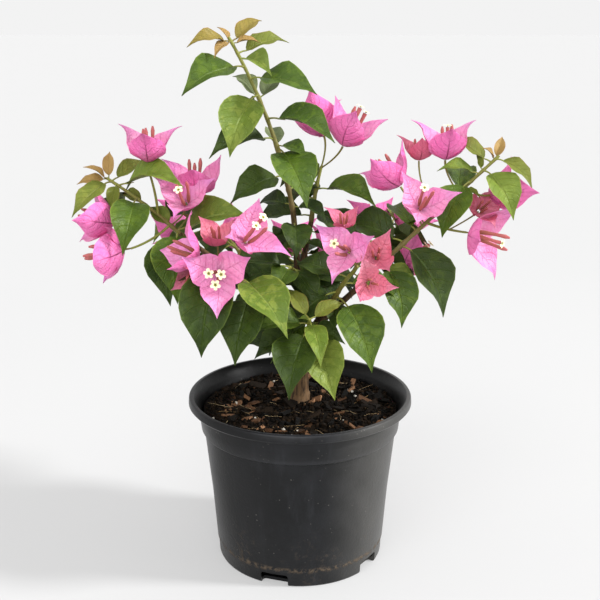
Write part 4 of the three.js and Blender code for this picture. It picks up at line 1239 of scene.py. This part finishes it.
def addBloom(axis, row, pick):
    openCount, at, heading, tilt, stalk, faceHeading, faceTilt, turn, length = row[:9]
    wider = row[9] if len(row) > 9 else 0
    node = axis.point(at * tipReach)
    facing = direction(faceHeading, faceTilt)
    centre = node + direction(heading, tilt) * stalk
    bend = centre - facing * heart["stalkBend"] * stalk
    path = curveBetween(node, bend, centre - facing * heart["back"] * 0.3, 8)
    thickness = heart["stalk"] * heart["thick" if length > heart["thickFrom"] else "thin"]
    radii = [thickness * share for share in heart["stalkTaper"]]
    low, spread = heart["stalkTones"]
    addTube(stalkHeap, path, radii, leaf["stalkSides"], low + spread * pick.random())
    kind = "open" if length > bract["openLength"] else "young"
    side, over = acrossLine(facing)
    for part in range(3):
        angle = math.radians(turn + part * 120)
        outward = side * math.cos(angle) + over * math.sin(angle)
        hinge = facing.cross(outward)
        splay = bract["splay"] + wider + pick.uniform(-1, 1) * bract["splayJitter"]
        along = facing.copy()
        along.rotate(Matrix.Rotation(math.radians(splay), 3, hinge))
        inward = along.cross(hinge)
        root = centre + outward * heart["rootOut"]
        bractLength = length * pick.uniform(*heart["bractSpread"])
        addBlade(bractHeaps[kind], root, along, inward, bract, bractLength, pick, pick.random())
        way = facing.copy()
        lean = flower["lean"] + pick.uniform(-heart["leanJitter"], heart["leanJitter"])
        way.rotate(Matrix.Rotation(math.radians(lean), 3, hinge))
        tubeLength = length * flower["length"] * pick.uniform(*heart["tubeSpread"])
        tubeLength *= heart["youngTube"] if kind == "young" else 1
        addFlower(root + along * heart["tubeUp"], way, facing, tubeLength, part < openCount, pick)


def makeSprays():
    for k, (name, spray) in enumerate(sprays.items()):
        pick = random.Random(100 + k)
        bough = boughAxes[spray.get("on", name)]
        shift = 0 if "at" in spray else clearGap
        foot = bough.point(spray.get("at", 1)) + bough.ahead(1) * shift
        shoots = spray["shoots"] if "shoots" in spray else wildShoots(spray["wild"])
        stem = LimbAxis(foot, shoots[0])
        low, high = shootRule["tones"].get(name, shootRule["tone"])
        for shoot in shoots:
            isStem = shoot is shoots[0]
            axis = stem if isStem else LimbAxis(stem.point(shoot["at"]), shoot)
            count = max(6, round(shoot["length"] / shootRule["ringStep"]))
            nodes = [row[1] * tipReach for row in shoot["leaves"]]
            path, radii, tones = [], [], []
            for j in range(count + 1):
                share = j / count
                near = min([abs(share - node) * shoot["length"] for node in nodes] or [1])
                swell = 1 + shootRule["swell"] * math.exp(-(near / shootRule["swellReach"]) ** 2)
                path.append(axis.point(share))
                radii.append(taper(shoot["radii"])(share) * swell)
                tones.append(low + (high - low) * share if isStem else high)
            path[0] = path[0] - axis.ahead(0) * shootRule["sunk"]
            addTube(shootHeap, path, radii, shootRule["stemSides" if isStem else "sides"], 0.5, tones)
            for row in shoot["leaves"]:
                addLeaf(axis, row, spray["faces"], pick)
            for row in shoot["blooms"]:
                addBloom(axis, row, pick)


# Small leaves that fill the bush's heart: they stand round each bough by the golden angle.
fillRule = {
    "from": {"leader": 0.15, "front_left": 0.45, "front_right": 0.45, "upper": 0.30, "back_left": 0.45,
             "back_right": 0.45, "back_low": 0.35, "left": 0.30, "low_front": 0.40},
    "to": {"left": 0.75}, "step": 0.0085, "tilt": -22, "jitter": 16, "length": (0.022, 0.036),
}


def makeFill():
    for k, (name, start) in enumerate(fillRule["from"].items()):
        pick = random.Random(300 + k)
        axis, bough = boughAxes[name], boughs[name]
        turn = 60 * k
        far = start * bough["length"]
        while far < fillRule["to"].get(name, 0.95) * bough["length"]:
            heading = bough["heading"] + turn + pick.uniform(-1, 1) * fillRule["jitter"]
            tilt = fillRule["tilt"] + pick.uniform(-1, 1) * fillRule["jitter"]
            row = (pick.choice("dddm"), far / bough["length"] / tipReach, heading, tilt,
                   pick.uniform(*fillRule["length"]))
            addLeaf(axis, row, heading, pick)
            turn += goldenAngle
            far += fillRule["step"] * pick.uniform(0.8, 1.2)


print("growing the sprays")
makeSprays()
makeFill()

sprayNodes = ["spray_" + name for name in sprays]
for letter, heap in leafHeaps.items():
    name = leafNames[letter]
    heap.makePiece(name, leafFinish(name, leafColours[letter]), "foliage", sprayNodes)
for kind, heap in bractHeaps.items():
    name = kind + "Bracts"
    heap.makePiece(name, bractFinish(name, bractColours[kind]), "blossom", sprayNodes)
for name, heap, finish, slot in (
        ("shoots", shootHeap, shootFinish("shootSkin", (92, 68, 36), (132, 138, 54)), "foliage"),
        ("stalks", stalkHeap, shootFinish("stalkSkin", (104, 76, 42), (144, 156, 66)), "foliage"),
        ("flowerTubes", tubeHeap, shootFinish("tubeSkin", (138, 100, 66), (186, 96, 98)), "blossom"),
        ("flowerStars", starHeap, starFinish(), "blossom")):
    heap.makePiece(name, finish, slot, sprayNodes)
